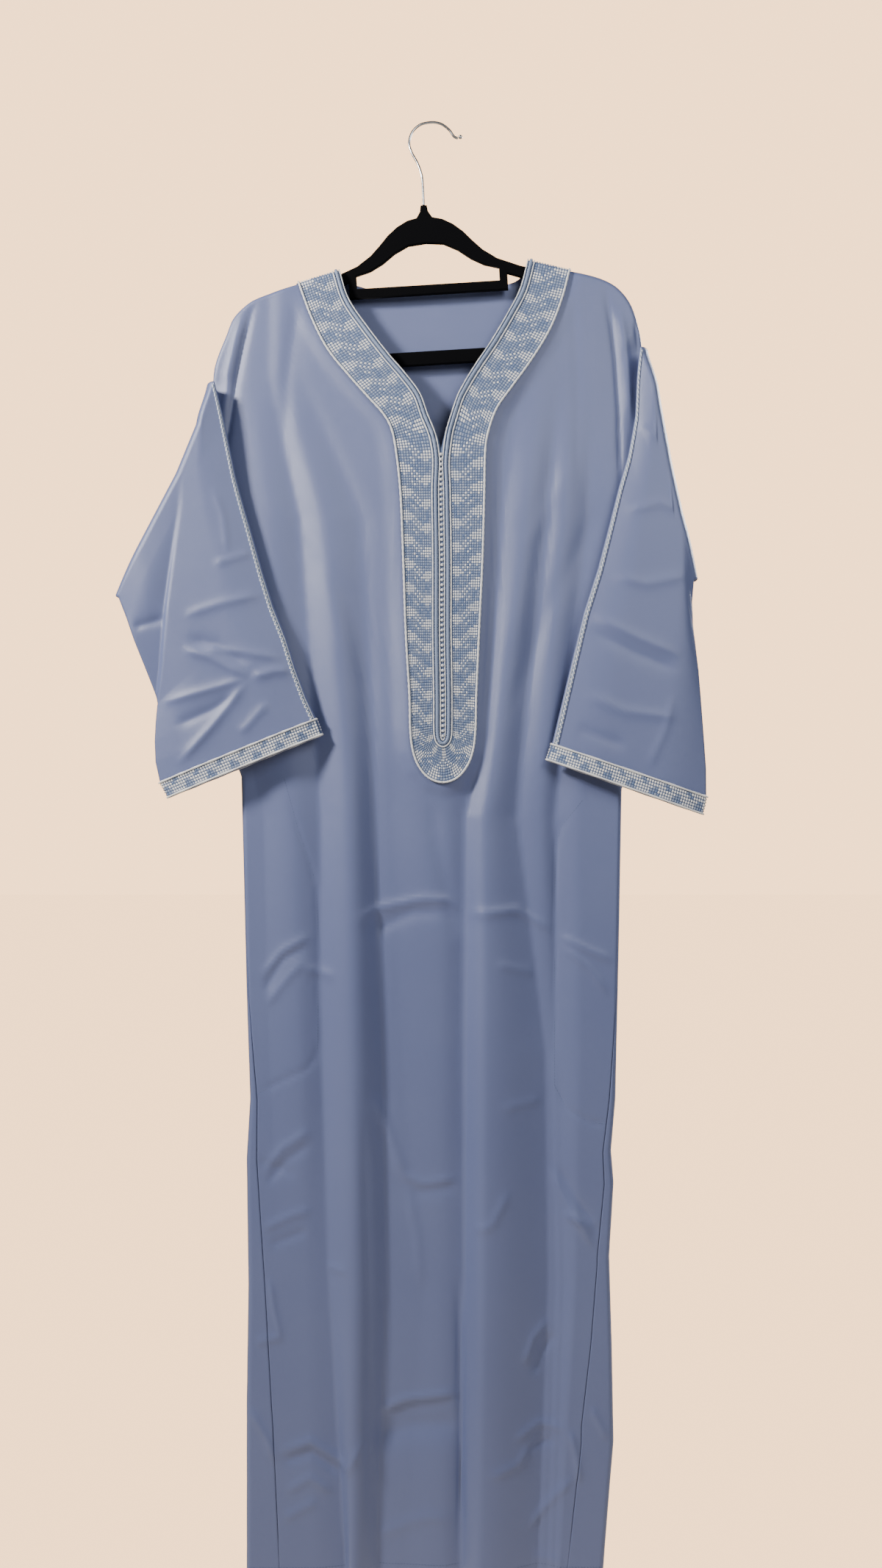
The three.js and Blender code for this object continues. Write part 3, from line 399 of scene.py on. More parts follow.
# Creases: width, height towards the viewer (a trough if negative), then the line.
FRONT_CREASES = [
    (5, 2.8, [(-89, -911), (-61, -894), (-7, -883), (18, -885), (37, -901)]),
    (5, 2.4, [(37, -901), (97, -895), (141, -922)]),
    (9, -2.4, [(-80, -925), (-20, -898), (20, -899)]),
    (8, -1.6, [(-25, -1220), (33, -1210)]),
    (4.5, 2.8, [(-66, -1471), (-31, -1454), (35, -1444)]),
    (8, -1.8, [(-60, -1482), (-25, -1466), (33, -1456)]),
    (20, -5.0, [(-72, -1500), (-25, -1484), (40, -1478)]),
    (2.6, -1.3, [(-166, -747), (-150, -807), (-136, -848), (-131, -869), (-129, -911),
                 (-129, -1045)]),
    (2.6, -1.3, [(-129, -1040), (-131, -1063), (-141, -1076), (-165, -1087), (-200, -1105)]),
    (2.6, -1.3, [(171, -771), (147, -801), (141, -824), (140, -922), (140, -1096)]),
    (2.6, -1.3, [(140, -1090), (153, -1120), (177, -1135), (204, -1138)]),
    (12, -3.0, [(-3, -760), (28, -936)]),
    (4.5, 2.2, [(-133, -922), (-168, -942), (-196, -975)]),
    (4.5, -2.0, [(-138, -934), (-168, -952), (-193, -993)]),
    (4, 1.8, [(-137, -948), (-160, -969), (-190, -1008)]),
    (4.5, 2.0, [(-193, -1197), (-168, -1165), (-133, -1142)]),
    (4.5, -1.8, [(-190, -1210), (-161, -1177), (-132, -1157)]),
    (4, 2.0, [(-194, -1259), (-157, -1241), (-133, -1234)]),
    (4, -1.6, [(-186, -1277), (-137, -1257)]),
    (4, 1.8, [(-184, -1309), (-178, -1348), (-168, -1388)]),
    (4, 1.8, [(-201, -1386), (-168, -1378)]),
    (4.5, 2.4, [(-208, -1457), (-186, -1493), (-176, -1523)]),
    (4.5, 2.6, [(-180, -1512), (-137, -1497), (-95, -1526), (-71, -1482)]),
    (5, -2.4, [(-175, -1523), (-135, -1510), (-97, -1540)]),
    (4.5, 2.0, [(-168, -1556), (-137, -1538), (-109, -1558)]),
    (4.5, 1.8, [(-170, -1586), (-127, -1563)]),
    (4, 1.8, [(-119, -1300), (-94, -1301)]),
    (6, 2.6, [(-67, -1099), (-48, -1150), (-28, -1210)]),
    (4.5, 2.0, [(-38, -1195), (-9, -1208), (33, -1200)]),
    (5, 1.8, [(-28, -1210), (-16, -1266), (-11, -1332)]),
    (4.5, 1.8, [(43, -1259), (68, -1249), (89, -1210)]),
    (4.5, 2.6, [(134, -1185), (152, -1226), (187, -1281)]),
    (5, -2.2, [(144, -1183), (164, -1224), (193, -1266)]),
    (4, 1.8, [(147, -1238), (187, -1259)]),
    (4.5, 2.2, [(104, -1414), (116, -1381), (136, -1361)]),
    (4.5, -2.0, [(114, -1427), (126, -1398), (144, -1376)]),
    (4.5, 2.4, [(91, -1497), (121, -1480), (157, -1485)]),
    (4.5, 2.4, [(156, -1482), (164, -1513), (169, -1548)]),
    (5, -2.0, [(103, -1508), (144, -1498)]),
    (4.5, 2.0, [(61, -1535), (99, -1522), (121, -1490)]),
    (4.5, 2.2, [(108, -1602), (144, -1556), (164, -1535)]),
    (4, 1.6, [(180, -1457), (200, -1497)]),
    (4.5, 2.2, [(142, -924), (174, -939), (210, -954)]),
    (4, 1.8, [(144, -934), (177, -959), (203, -993)]),
    (4, -3.4, [(31, -1299), (33, -1464), (34, -1635)]),
    (5, 2.6, [(38, -1299), (40, -1464), (42, -1635)]),
    (6, -2.0, [(-77, -1084), (-72, -1332), (-71, -1635)]),
    (3.5, -3.8, [(-197, -196), (-206, -222), (-215, -260), (-222, -294), (-231, -356),
                 (-238, -400)]),
    (6, 3.0, [(-212, -212), (-222, -250), (-231, -290), (-241, -350)]),
    (7, -1.6, [(-150, -195), (-160, -260), (-165, -300), (-163, -370)]),
    (3.5, -3.8, [(197, -182), (205, -235), (209, -270), (213, -330), (214, -430)]),
    (6, 2.6, [(212, -205), (222, -270), (225, -350)]),
    (3, -2.6, [(230, -222), (235, -258), (236, -304)]),
    (7, -1.4, [(160, -180), (166, -300), (164, -430)]),
    (10, 1.6, [(-190, -420), (-120, -500), (-86, -640)]),
    (12, -1.8, [(-170, -430), (-100, -540), (-60, -690)]),
    (10, 1.4, [(165, -380), (110, -480), (90, -620)]),
    (12, -1.6, [(200, -420), (130, -560), (80, -700)]),
    (5, 1.4, [(70, -955), (120, -968)]),
    (6, 1.6, [(-150, -960), (-105, -972)]),
    (5, 1.2, [(75, -1120), (128, -1110)]),
    (6, -1.4, [(-200, -1180), (-150, -1196)]),
    (5, 1.2, [(150, -1240), (195, -1252)]),
    (7, 1.4, [(-71, -1612), (-42, -1600), (-19, -1590), (-1, -1585), (28, -1590)]),
    (6, 1.2, [(112, -1633), (151, -1634)])]
BACK_CREASES = [
    (7, 2.4, [(-150, -905), (-60, -890), (20, -896), (120, -884), (180, -905)]),
    (8, -2.0, [(-130, -920), (-20, -906), (90, -900)]),
    (6, 1.8, [(-120, -1210), (-30, -1198), (60, -1206)]),
    (6, 1.8, [(-160, -1470), (-60, -1458), (40, -1468), (130, -1452)]),
    (5, 1.6, [(-100, -1530), (-40, -1512)]),
    (5, 1.6, [(70, -1540), (140, -1520)]),
    (10, 2.2, [(-170, -330), (-90, -350), (0, -345), (90, -335), (170, -315)]),
    (10, -2.0, [(-230, -480), (-120, -520), (-40, -640)]),
    (10, -2.0, [(220, -460), (130, -510), (60, -640)]),
    (6, 1.6, [(-70, -560), (20, -552), (90, -566)]),
    (6, 1.4, [(-160, -1060), (-80, -1048)]),
    (6, 1.4, [(60, -1080), (150, -1066)])]

FRONT_NECK = {side: smooth_line(line, 60).tolist() for side, line in NECK_POINTS.items()}
SHOULDER = {side: smooth_line(line, 28).tolist() for side, line in SHOULDER.items()}


def smooth(t):
    """Rises from 0 to 1 with level ends."""
    t = np.clip(t, 0, 1)
    return t * t * (3 - 2 * t)


def rounded(t):
    """A quarter circle's height from 0 to 1."""
    return np.sqrt(1 - (1 - np.clip(t, 0, 1)) ** 2)


def mix(a, b, t):
    """a at t = 0 and b at t = 1."""
    return a + (b - a) * t


def at(table, z):
    """The first column of a (value, z) table at height z, straight between its rows."""
    table = np.asarray(table, float)
    return np.interp(-np.asarray(z, float), -table[:, 1], table[:, 0])


def line_length(line):
    """Length of a line of points."""
    return np.linalg.norm(np.diff(np.asarray(line, float), axis=0), axis=1).sum()


def along(line, share):
    """x and z at a share of a line's length."""
    line = np.asarray(line, float)
    run = run_along(line)
    want = np.clip(share, 0, 1) * run[-1]
    return np.interp(want, run, line[:, 0]), np.interp(want, run, line[:, 1])


def distance(line, x, z):
    """Shortest distance from each point to a line, and the share of the line's length there."""
    best = np.full(np.shape(x), np.inf)
    place = np.zeros(np.shape(x))
    run, total = 0.0, line_length(line)
    for (ax, az), (bx, bz) in zip(line[:-1], line[1:]):
        length = math.hypot(bx - ax, bz - az)
        t = np.clip(((x - ax) * (bx - ax) + (z - az) * (bz - az)) / length**2, 0, 1)
        away = np.hypot(x - mix(ax, bx, t), z - mix(az, bz, t))
        place = np.where(away < best, (run + t * length) / total, place)
        best = np.minimum(best, away)
        run += length
    return best, place


def creases(table, x, z):
    """Sum of the table's creases: each is a bell across its line that dies out at both ends."""
    total = np.zeros(np.shape(x))
    for width, height, line in table:
        away, place = distance(line, x, z)
        ends = smooth(place / CREASE_END) * smooth((1 - place) / CREASE_END)
        total += height * ends / (1 + (away / width) ** 2) ** CREASE_TAIL
    return total


def fold_depth(folds, x, z):
    """Depth of the hanging folds: between two fold lines it eases from one's depth to the next's,
    round over the lines near the viewer and sharper in the valleys."""
    fx, fy = np.array(folds, float).transpose(1, 0, 2)
    level = -np.asarray(LEVELS, float)
    place = np.interp(-z, level, np.arange(len(LEVELS)))
    k = np.minimum(place.astype(int), len(LEVELS) - 2)
    t = place - k
    lines = fx[:, k] * (1 - t) + fx[:, k + 1] * t
    depths = mix(fy[:, k], fy[:, k + 1], smooth(t))
    y = depths[0]
    for i in range(1, len(lines)):
        share = np.clip((x - lines[i - 1]) / (lines[i] - lines[i - 1]), 0, 1)
        into = mix(smooth(share), share**2, VALLEY)
        out = mix(smooth(share), 1 - (1 - share) ** 2, VALLEY)
        step = mix(depths[i - 1], depths[i], np.where(depths[i] > depths[i - 1], into, out))
        y = np.where(x > lines[i - 1], step, y)
    return y


def filled(s, length):
    """How far a pressed edge has filled out at a distance s from either end of a length."""
    return np.sin(math.pi / 2 * np.clip(np.minimum(s, length - s) / EDGE_CAP, 0, 1))


def body_depth(face, x, z):
    """Depth of the body's cloth at x, z on the front (face -1) or back (1): folds and creases,
    kept flat under the stiff neck band, eased into the armhole, round the side and over the
    shoulder seam."""
    x, z = np.broadcast_arrays(np.asarray(x, float), np.asarray(z, float))
    if face < 0:
        y = fold_depth(FRONT_FOLDS, x, z) - creases(FRONT_CREASES, x, z)
        ring = BAND_OUTER["left"] + BAND_OUTER["right"][-2::-1]
        inside = (x > at(BAND_OUTER["left"], z)) & (x < at(BAND_OUTER["right"], z))
        inside &= z > BAND_END_Z
        off = np.where(inside, 0, distance(ring, x, z)[0])
        y = mix(at(BAND_DEPTH, z), y, smooth(off / BAND_STIFF))
    else:
        y = fold_depth(BACK_FOLDS, x, z) + creases(BACK_CREASES, x, z)
    result = y
    for side in SIDES:
        own = x < CENTRE_X if side == "left" else x >= CENTRE_X
        top, bottom = ARMHOLE[side][0][1], ARMHOLE[side][-1][1]
        length = line_length(ARMHOLE[side])
        full = filled(np.clip((top - z) / (top - bottom), 0, 1) * length, length)
        edge = face * (EDGE_GAP + full * (FRONT_EASE if face < 0 else BACK_EASE))
        upper = mix(edge, y, smooth(distance(ARMHOLE[side], x, z)[0] / ARMHOLE_BLEND))
        lower = y * rounded(np.abs(x - at(OUTLINE[side], z)) / SIDE_ROUND)
        eased = np.where(z > bottom - 0.5, upper, lower)
        seam = rounded(distance(SHOULDER[side], x, z)[0] / SHOULDER_ROUND)
        result = np.where(own, mix(face * SHOULDER_SEAM, eased, seam), result)
    return result


def side_inset(q):
    """How far in from the side's outline the cloth is after q millimetres round the side fold."""
    turn = SIDE_ROUND * (1 - np.cos(np.clip(q / SIDE_QUARTER, 0, 1) * math.pi / 2))
    return np.where(q < SIDE_QUARTER, turn, SIDE_ROUND + q - SIDE_QUARTER)


def half_panel(side, face, rows=370, columns=66):
    """Half of a body panel as a grid. Down it goes along the armhole and then down the side to the
    hem; across it goes from the side seam to the centre. Above the underarm a row runs straight
    from the armhole to the neck or centre line and is lifted to meet the shoulder."""
    v = np.linspace(0, 1, rows)[:, None]
    u = np.linspace(0, 1, columns)[None, :]
    s = EVEN_SHARE * u + CROWDED_SHARE * u**2
    g = np.clip(v / UPPER_SHARE, 0, 1) ** ROW_CROWD
    top = SHOULDER[side] + (BACK_NECK[side] if face > 0 else [])
    neck = FRONT_NECK[side] if face < 0 else [(CENTRE_X, BACK_NECK_Z), (CENTRE_X, V_Z)]
    ex, ez = along(ARMHOLE[side], g)
    neck_z = mix(neck[0][1], V_Z, np.clip(g / V_SHARE, 0, 1))
    below = np.clip((g - V_SHARE) / (1 - V_SHARE), 0, 1)
    ix = mix(at(neck, neck_z), CENTRE_X + 1, below)
    iz = mix(neck_z, UNDERARM_Z, below)
    keep = (1 - g) ** TOP_FADE
    cx, cz = along(top, s)
    ux = mix(ex, ix, s) + keep * (cx - mix(top[0][0], neck[0][0], s))
    uz = mix(ez, iz, s) + keep * (cz - mix(top[0][1], neck[0][1], s))
    k = np.clip((v - UPPER_SHARE) / (1 - UPPER_SHARE), 0, 1)
    centre_z = mix(UNDERARM_Z, HEM_Z, k)
    lean = (ARMHOLE[side][-1][1] - UNDERARM_Z) * np.maximum(0, 1 - k * LEAN_FADE)
    level = centre_z + lean
    outline = at(OUTLINE[side], level)
    lines = np.array([f[0] for f in FRONT_FOLDS], float)
    middle = np.interp(-centre_z, -np.asarray(LEVELS, float), lines[MIDDLE_FOLD])
    wrap = at(WRAP[side], level) * smooth(k / WRAP_FADE)
    cloth = np.abs(middle - outline) - SIDE_ROUND + SIDE_QUARTER
    gap = SIDE_GAP * at(SEAM_CLOSES, level)
    start = wrap + gap / 2 if face < 0 else -np.maximum(wrap - gap / 2, 0)
    q = mix(start, cloth, s)
    lx = outline + INWARD[side] * side_inset(np.abs(q))
    lz = centre_z + lean * (1 - s)
    lower = v > UPPER_SHARE
    x, z = np.where(lower, lx, ux), np.where(lower, lz, uz)
    y = body_depth(face, x, z)
    if face > 0:
        y = np.where(lower & (q < 0), body_depth(-1, x, z), y)
    return np.stack([x, y, z], axis=-1)


WELD = 2e-5


def sheet_piece(name, grids, material, thickness, around=False, offset=0.0):
    """One piece of cloth from grids of its middle surface, welded where they meet and given its
    thickness by a Solidify modifier."""
    vertices, faces, first = [], [], 0
    for grid, flip in grids:
        rows, columns = grid.shape[:2]
        quads = grid_faces(rows, columns, around, first)
        faces.append(quads[:, ::-1] if flip else quads)
        vertices.append(grid.reshape(-1, 3))
        first += rows * columns
    piece = link_mesh(name, np.concatenate(vertices), np.concatenate(faces), [material])
    work = bmesh.new()
    work.from_mesh(piece.data)
    bmesh.ops.remove_doubles(work, verts=work.verts, dist=WELD)
    work.to_mesh(piece.data)
    work.free()
    solid = piece.modifiers.new("thickness", "SOLIDIFY")
    solid.thickness = thickness * 0.001
    solid.offset = offset
    solid.use_even_offset = False
    return piece


WAVE_SHARE = 0.25


def weave_group():
    """Fine plain weave with soft cloudy colour: two fine waves that cross, and a slow noise."""
    group = bpy.data.node_groups.new("weave", "ShaderNodeTree")
    for name, kind, direction in (("Vector", "NodeSocketVector", "INPUT"),
                                  ("Height", "NodeSocketFloat", "OUTPUT"),
                                  ("Cloud", "NodeSocketFloat", "OUTPUT")):
        group.interface.new_socket(name=name, in_out=direction, socket_type=kind)
    links = group.links
    given, out = group.nodes.new("NodeGroupInput"), group.nodes.new("NodeGroupOutput")
    crossed, total = add_node(group, "Math"), add_node(group, "Math")
    crossed.operation, total.operation = "ADD", "MULTIPLY_ADD"
    for place, axis in enumerate(("X", "Z")):
        wave = add_node(group, "TexWave", Scale=620, Distortion=1.2)
        wave.bands_direction = axis
        links.new(given.outputs["Vector"], wave.inputs["Vector"])
        links.new(wave.outputs["Fac"], crossed.inputs[place])
    slubs = add_node(group, "TexNoise", Scale=90, Detail=5)
    cloud = add_node(group, "TexNoise", Scale=7, Detail=3)
    for noise in (slubs, cloud):
        links.new(given.outputs["Vector"], noise.inputs["Vector"])
    total.inputs[1].default_value = WAVE_SHARE
    links.new(crossed.outputs[0], total.inputs[0])
    links.new(slubs.outputs["Fac"], total.inputs[2])
    links.new(total.outputs[0], out.inputs["Height"])
    links.new(cloud.outputs["Fac"], out.inputs["Cloud"])
    return group


weave = weave_group()


def two_colours(tree, shader, share, first, second):
    """Mixes two colours by a share into the shader's base colour."""
    blend = add_node(tree, "Mix")
    blend.data_type = "RGBA"
    blend.inputs[6].default_value = (*first, 1)
    blend.inputs[7].default_value = (*second, 1)
    tree.links.new(share, blend.inputs[0])
    tree.links.new(blend.outputs[2], shader.inputs["Base Color"])


def cloth_material(name, dark, light, roughness, sheen, bump):
    """Woven cloth: the weave group's cloud mixes two near colours and its height feeds a bump."""
    material, shader, tree = plain_material(name, light, roughness, sheen)
    woven = add_node(tree, "Group")
    woven.node_tree = weave
    tree.links.new(add_node(tree, "TexCoord").outputs["Object"], woven.inputs["Vector"])
    two_colours(tree, shader, woven.outputs["Cloud"], dark, light)
    raise_surface(tree, shader, woven.outputs["Height"], Strength=bump, Distance=0.0004)
    return material, shader


cloth, cloth_shader = cloth_material(
    "periwinkle_cloth", (0.120, 0.149, 0.312), (0.148, 0.180, 0.347), 0.42, 0.12, 0.35)
set_sheen(cloth_shader, 0.4, (0.80, 0.84, 1.0), 0.85)


def body_panel(name, face):
    """A whole front or back panel from its two halves."""
    halves = [(half_panel(side, face), (INWARD[side] > 0) == (face > 0)) for side in SIDES]
    return sheet_piece(name, halves, cloth, CLOTH)


front = body_panel("front_panel", -1)
dress(front, "front")
back = body_panel("back_panel", 1)
dress(back, "back")

# ---- the sleeves: wide tubes of the body's cloth, set into the armholes, pressed flat and
# folded forward over the body so that their back half faces out ----
ARMHOLE_GAP, ARMHOLE_END_GAP = 1.1, 1.5
TURN_Y, TURN_FLAT, PLEAT_STEP, PLEAT_FADE, EDGE_TIP = -11, 0.45, 6, 30, 0.96
CUFF_ROW, SHOULDER_TUCK, TUCK_REACH = 10, 5.0, 45
WING, WING_START, WING_REACH = {"left": 13, "right": 4}, 4, 60
# How much of a crease shows on the outer wall, and on the wall folded in against the body.
CREASE_SHARE, CREASE_INSET, INNER_WALL = 0.75, 14, 0.5
# Rows over which the pleat sets in, the tuck lets go and the creases end at the cuff.
PLEAT_START, PLEAT_ROWS, TUCK_ROWS, CUFF_FADE = 0.5, 2, 3, 0.8
ARMHOLE_STEP = 0.02
# Overarm x, z and underarm x, z, row by row to the cuff.
SLEEVE_ROWS = {
    "left": [(-249, -303, -350, -543), (-236, -352, -341, -566), (-222, -408, -332, -592),
             (-207, -457, -322, -618), (-190, -517, -313, -642), (-178, -555, -306, -662),
             (-164, -590, -308, -684), (-154, -622, -309, -705), (-142, -655, -308, -728),
             (-131.4, -678.6, -303.5, -748.5), (-131, -680, -303, -750), (-127, -690, -298, -759),
             (-124, -699, -293, -768)],
    "right": [(240, -264, 294, -523), (235, -300, 292, -548), (231, -340, 293, -575),
              (221, -388, 296, -600), (211, -422, 299, -625), (201, -462, 301, -650),
              (188, -512, 303, -677), (172, -562, 305, -705), (158, -620, 307, -735),
              (137.4, -706.4, 307.1, -764.6), (137, -708, 307, -766), (134, -718, 305, -777),
              (131, -727, 302, -787)]}
PLEAT = {
    "left": [(-259, -340), (-265, -385), (-275, -427), (-285, -493), (-293, -550), (-300, -622),
             (-306, -664), (-330, -700)],
    "right": [(255, -300), (264, -380), (276, -450), (286, -520), (291, -560), (320, -600)]}
SLEEVE_CREASES = {
    "left": [
        (6, 3.4, [(-202, -635), (-245, -612), (-280, -601)]),
        (6, 2.6, [(-202, -635), (-255, -650), (-305, -664)]),
        (7, 3.0, [(-202, -635), (-175, -627), (-150, -625)]),
        (6, 3.6, [(-202, -635), (-245, -690), (-286, -735)]),
        (8, -3.0, [(-215, -650), (-240, -668), (-290, -690)]),
        (8, -2.6, [(-200, -622), (-240, -598), (-275, -590)]),
        (6, 2.2, [(-264, -602), (-210, -606), (-160, -614)]),
        (6, 2.2, [(-280, -567), (-235, -552), (-186, -540)]),
        (5, 1.8, [(-244, -509), (-199, -493)]),
        (5, 1.6, [(-244, -420), (-232, -455), (-226, -500)]),
        (6, -2.6, [(-339, -579), (-296, -567)]),
        (6, 2.0, [(-180, -660), (-215, -700)])],
    "right": [
        (6, 3.0, [(176, -563), (230, -590), (282, -612)]),
        (8, -2.6, [(172, -578), (225, -606), (280, -628)]),
        (5, 1.8, [(215, -450), (255, -440), (285, -452)]),
        (6, 2.0, [(200, -520), (240, -530), (290, -520)]),
        (6, 2.2, [(165, -650), (215, -672), (280, -680)]),
        (6, -2.0, [(160, -690), (220, -712)]),
        (5, 1.8, [(230, -350), (258, -372)]),
        (5, 1.6, [(240, -740), (262, -690), (270, -650)])]}


def sleeve_surface(side, k, s, wall):
    """The sleeve's middle surface. k is the row: 0 to 1 is the forward fold, a half turn about a
    line in front of the armhole, and beyond 1 the rows of the table. s goes from the overarm edge
    to the underarm edge; wall is -1 for the half sewn to the front, 1 for the other, which faces
    out after the fold, and 0 for the pressed edges."""
    k, s, wall = np.broadcast_arrays(*(np.asarray(a, float) for a in (k, s, wall)))
    outward = INWARD[side]
    length = line_length(ARMHOLE[side])
    px, pz = along(ARMHOLE[side], s)
    qx, qz = along(ARMHOLE[side], np.minimum(s + ARMHOLE_STEP, 1))
    ox, oz = along(ARMHOLE[side], np.maximum(s - ARMHOLE_STEP, 0))
    reach = np.hypot(qx - ox, qz - oz)
    dx, dz = (qx - ox) / reach, (qz - oz) / reach
    nx, nz = outward * dz, -outward * dx
    ease = np.where(wall < 0, FRONT_EASE, BACK_EASE)
    stand = np.where(wall == 0, 0, EDGE_GAP + ease * filled(s * length, length))
    rho = -TURN_Y + wall * stand
    tip = np.where(wall == 0, np.where(s < 0.5, -EDGE_TIP, EDGE_TIP), 0)
    phi = np.clip(k, 0, 1) * math.pi
    opened = ARMHOLE_GAP + ARMHOLE_END_GAP * (1 - filled(s * length, length))
    opened = opened * (1 - phi / math.pi)
    out = opened + TURN_FLAT * rho * np.sin(phi)
    folded = np.stack([px + nx * out + dx * tip, TURN_Y + rho * np.cos(phi),
                       pz + nz * out + dz * tip], axis=-1)
    rows = np.asarray(SLEEVE_ROWS[side], float)
    row = np.clip(k - 1, 1, len(rows) - 1)
    ax, az, bx, bz = (np.interp(row, np.arange(len(rows)), rows[:, i]) for i in range(4))
    span = np.hypot(bx - ax, bz - az)
    stand = np.where(wall == 0, 0, EDGE_GAP + ease * filled(s * span, span))
    x, z = mix(ax, bx, s) + (bx - ax) / span * tip, mix(az, bz, s) + (bz - az) / span * tip
    behind = -INWARD[side] * (x - at(PLEAT[side], z))
    ends = smooth((z - PLEAT[side][-1][1]) / PLEAT_FADE)
    ends = ends * smooth((row - PLEAT_START) / PLEAT_ROWS)
    wing = WING[side] * np.clip((behind - WING_START) / WING_REACH, 0, 1)
    step = (PLEAT_STEP * smooth(behind / PLEAT_STEP) - wing) * ends
    inset = smooth(np.minimum(s, 1 - s) * span / CREASE_INSET) * smooth(row)
    inset = inset * smooth((CUFF_ROW - row) / CUFF_FADE)
    strength = np.where(wall == 0, 0, np.where(wall > 0, 1, INNER_WALL))
    creased = CREASE_SHARE * creases(SLEEVE_CREASES[side], x, z) * inset * strength
    flat = np.stack([x, 2 * TURN_Y - wall * stand + step - creased, z], axis=-1)
    surface = mix(folded, flat, np.clip(k - 1, 0, 1)[..., None])
    tuck = SHOULDER_TUCK * smooth(k) * (1 - smooth((k - 1) / TUCK_ROWS))
    tuck = tuck * (1 - smooth(s * length / TUCK_REACH))
    surface[..., 0] += outward * tuck
    return surface


WALL_POINTS, EDGE_CROWD = 76, 0.45
even = 0.5 - 0.5 * np.cos(np.linspace(0, math.pi, WALL_POINTS))
across_wall = mix(np.linspace(0, 1, WALL_POINTS), even, EDGE_CROWD)
RING_S = np.concatenate([across_wall, [1], across_wall[::-1], [0]])
RING_WALL = np.concatenate([-np.ones(WALL_POINTS), [0], np.ones(WALL_POINTS), [0]])
RING_K = np.concatenate([np.linspace(0, 1, 15), 1 + np.linspace(0, 9, 150)[1:],
                         1 + np.linspace(9, 12, 16)[1:]])
for side in SIDES:
    rings = sleeve_surface(side, RING_K[:, None], RING_S[None, :], RING_WALL[None, :])
    sleeve = sheet_piece(
        side + "_sleeve_tube", [(rings, side == "right")], cloth, CLOTH, around=True)
    dress(sleeve, side + "_sleeve")

# ---- pocket bags: a pouch of the same cloth behind the front at each side, sewn into the side
# seam and stitched to the front round its edge ----
BAGS = {
    "left": ([(-176, -735), (-166, -752), (-150, -807), (-136, -850), (-131, -880), (-131, -1045),
              (-136, -1070), (-160, -1086), (-184, -1096)], -735, -1098),
    "right": ([(184, -755), (172, -771), (150, -801), (145, -824), (145, -1000), (145, -1090),
               (154, -1118), (172, -1131), (190, -1136)], -755, -1138)}
BAG_INSET, BAG_BACK, BAG_CLOTH = 6, 2.2, 0.8
for side, (inner, top, bottom) in BAGS.items():
    z = np.linspace(top, bottom, 80)[:, None]
    seam = at(OUTLINE[side], z) + INWARD[side] * side_inset(at(WRAP[side], z) + BAG_INSET)
    x = mix(seam, at(inner, z), np.linspace(0, 1, 24)[None, :])
    z = z + 0 * x
    pouch = np.stack([x, body_depth(-1, x, z) + BAG_BACK, z], axis=-1)
    bag = sheet_piece(side + "_pocket_pouch", [(pouch, side == "right")], cloth, BAG_CLOTH)
    dress(bag, side + "_pocket_bag")

# ---- the neck band: a stiff strip of darker ground laid round the neck and down the placket to a
# round tongue, filled with rows of small raised stitches in white and pale blue ----
PLACKET = [(11, V_Z), (11, -426), (12, -498), (12, -584), (13, -650), (13, -687), (13, -697),
           (13, -699.5), (13, -700.5), (13, -701)]
BAND_INNER = {side: points[:7] + PLACKET for side, points in NECK_POINTS.items()}
BAND_FACE, BAND_THICK = 2.3, 1.2
ROW_PITCH, STITCH_COLUMNS, STITCH_HEIGHT = 3.0, 12, 0.85
STITCH_HALF, STITCH_HALF_WIDTH = 0.37, 0.36
# The stitches lie between the outer cord and the inner ones.
OUTER_CLEAR, INNER_CLEAR = 3.2, 9.9
# One repeat of the stitches from the band's outer edge to its inner edge: # is white, . pale blue.
CHART = ["####........",
         "#####.......",
         "####.#......",
         ".#..#.#.....",
         ".....#.#.###",
         "......#.####",
         "....#..#####",
         ".....#...##.",
         "##.........."]
WHITE_STITCH = np.array([[c == "#" for c in row] for row in CHART])
# Shares of the band's outer edge and of its middle in its length.
EDGE_SHARE, MIDDLE_SHARE = 0.7, 0.3


def band_lines(side):
    """The band's outer and inner edges as smooth curves sampled in step with each other."""
    pairs = np.c_[np.asarray(BAND_OUTER[side], float), np.asarray(BAND_INNER[side], float)]
    other = "right" if side == "left" else "left"
    pairs = smooth_line(pairs, 260, after=(*BAND_OUTER[other][-2], *BAND_INNER[other][-2]))
    return pairs[:, :2], pairs[:, 2:]


BAND_LINES = {side: band_lines(side) for side in SIDES}


def band_surface(side, u, t, lift=BAND_FACE):
    """The band's face: u is the share of its length from the shoulder to the tongue's end, t goes
    from its outer edge to its inner edge, and lift is the height above the cloth."""
    outer, inner = BAND_LINES[side]
    middle = (outer + inner) / 2
    steps = (np.hypot(*np.diff(outer, axis=0).T) * EDGE_SHARE
             + np.hypot(*np.diff(middle, axis=0).T) * MIDDLE_SHARE)
    run = np.concatenate([[0], np.cumsum(steps)])
    want = np.asarray(u, float) * run[-1]
    ox, oz, ix, iz = (np.interp(want, run, c) for c in (*outer.T, *inner.T))
    x, z = mix(ox, ix, t), mix(oz, iz, t)
    y = body_depth(-1, x, z)
    slope_x = (body_depth(-1, x + 1, z) - body_depth(-1, x - 1, z)) / 2
    slope_z = (body_depth(-1, x, z + 1) - body_depth(-1, x, z - 1)) / 2
    size = np.sqrt(1 + slope_x**2 + slope_z**2)
    return np.stack([x + lift * slope_x / size, y - lift / size, z + lift * slope_z / size],
                    axis=-1)


def band_length(side):
    """Length of the band along its middle, used to count its rows of stitches."""
    outer, inner = BAND_LINES[side]
    return line_length(outer) * EDGE_SHARE + line_length((outer + inner) / 2) * MIDDLE_SHARE


PAD_SHOULDER, PAD_RIM = 0.45, -0.25


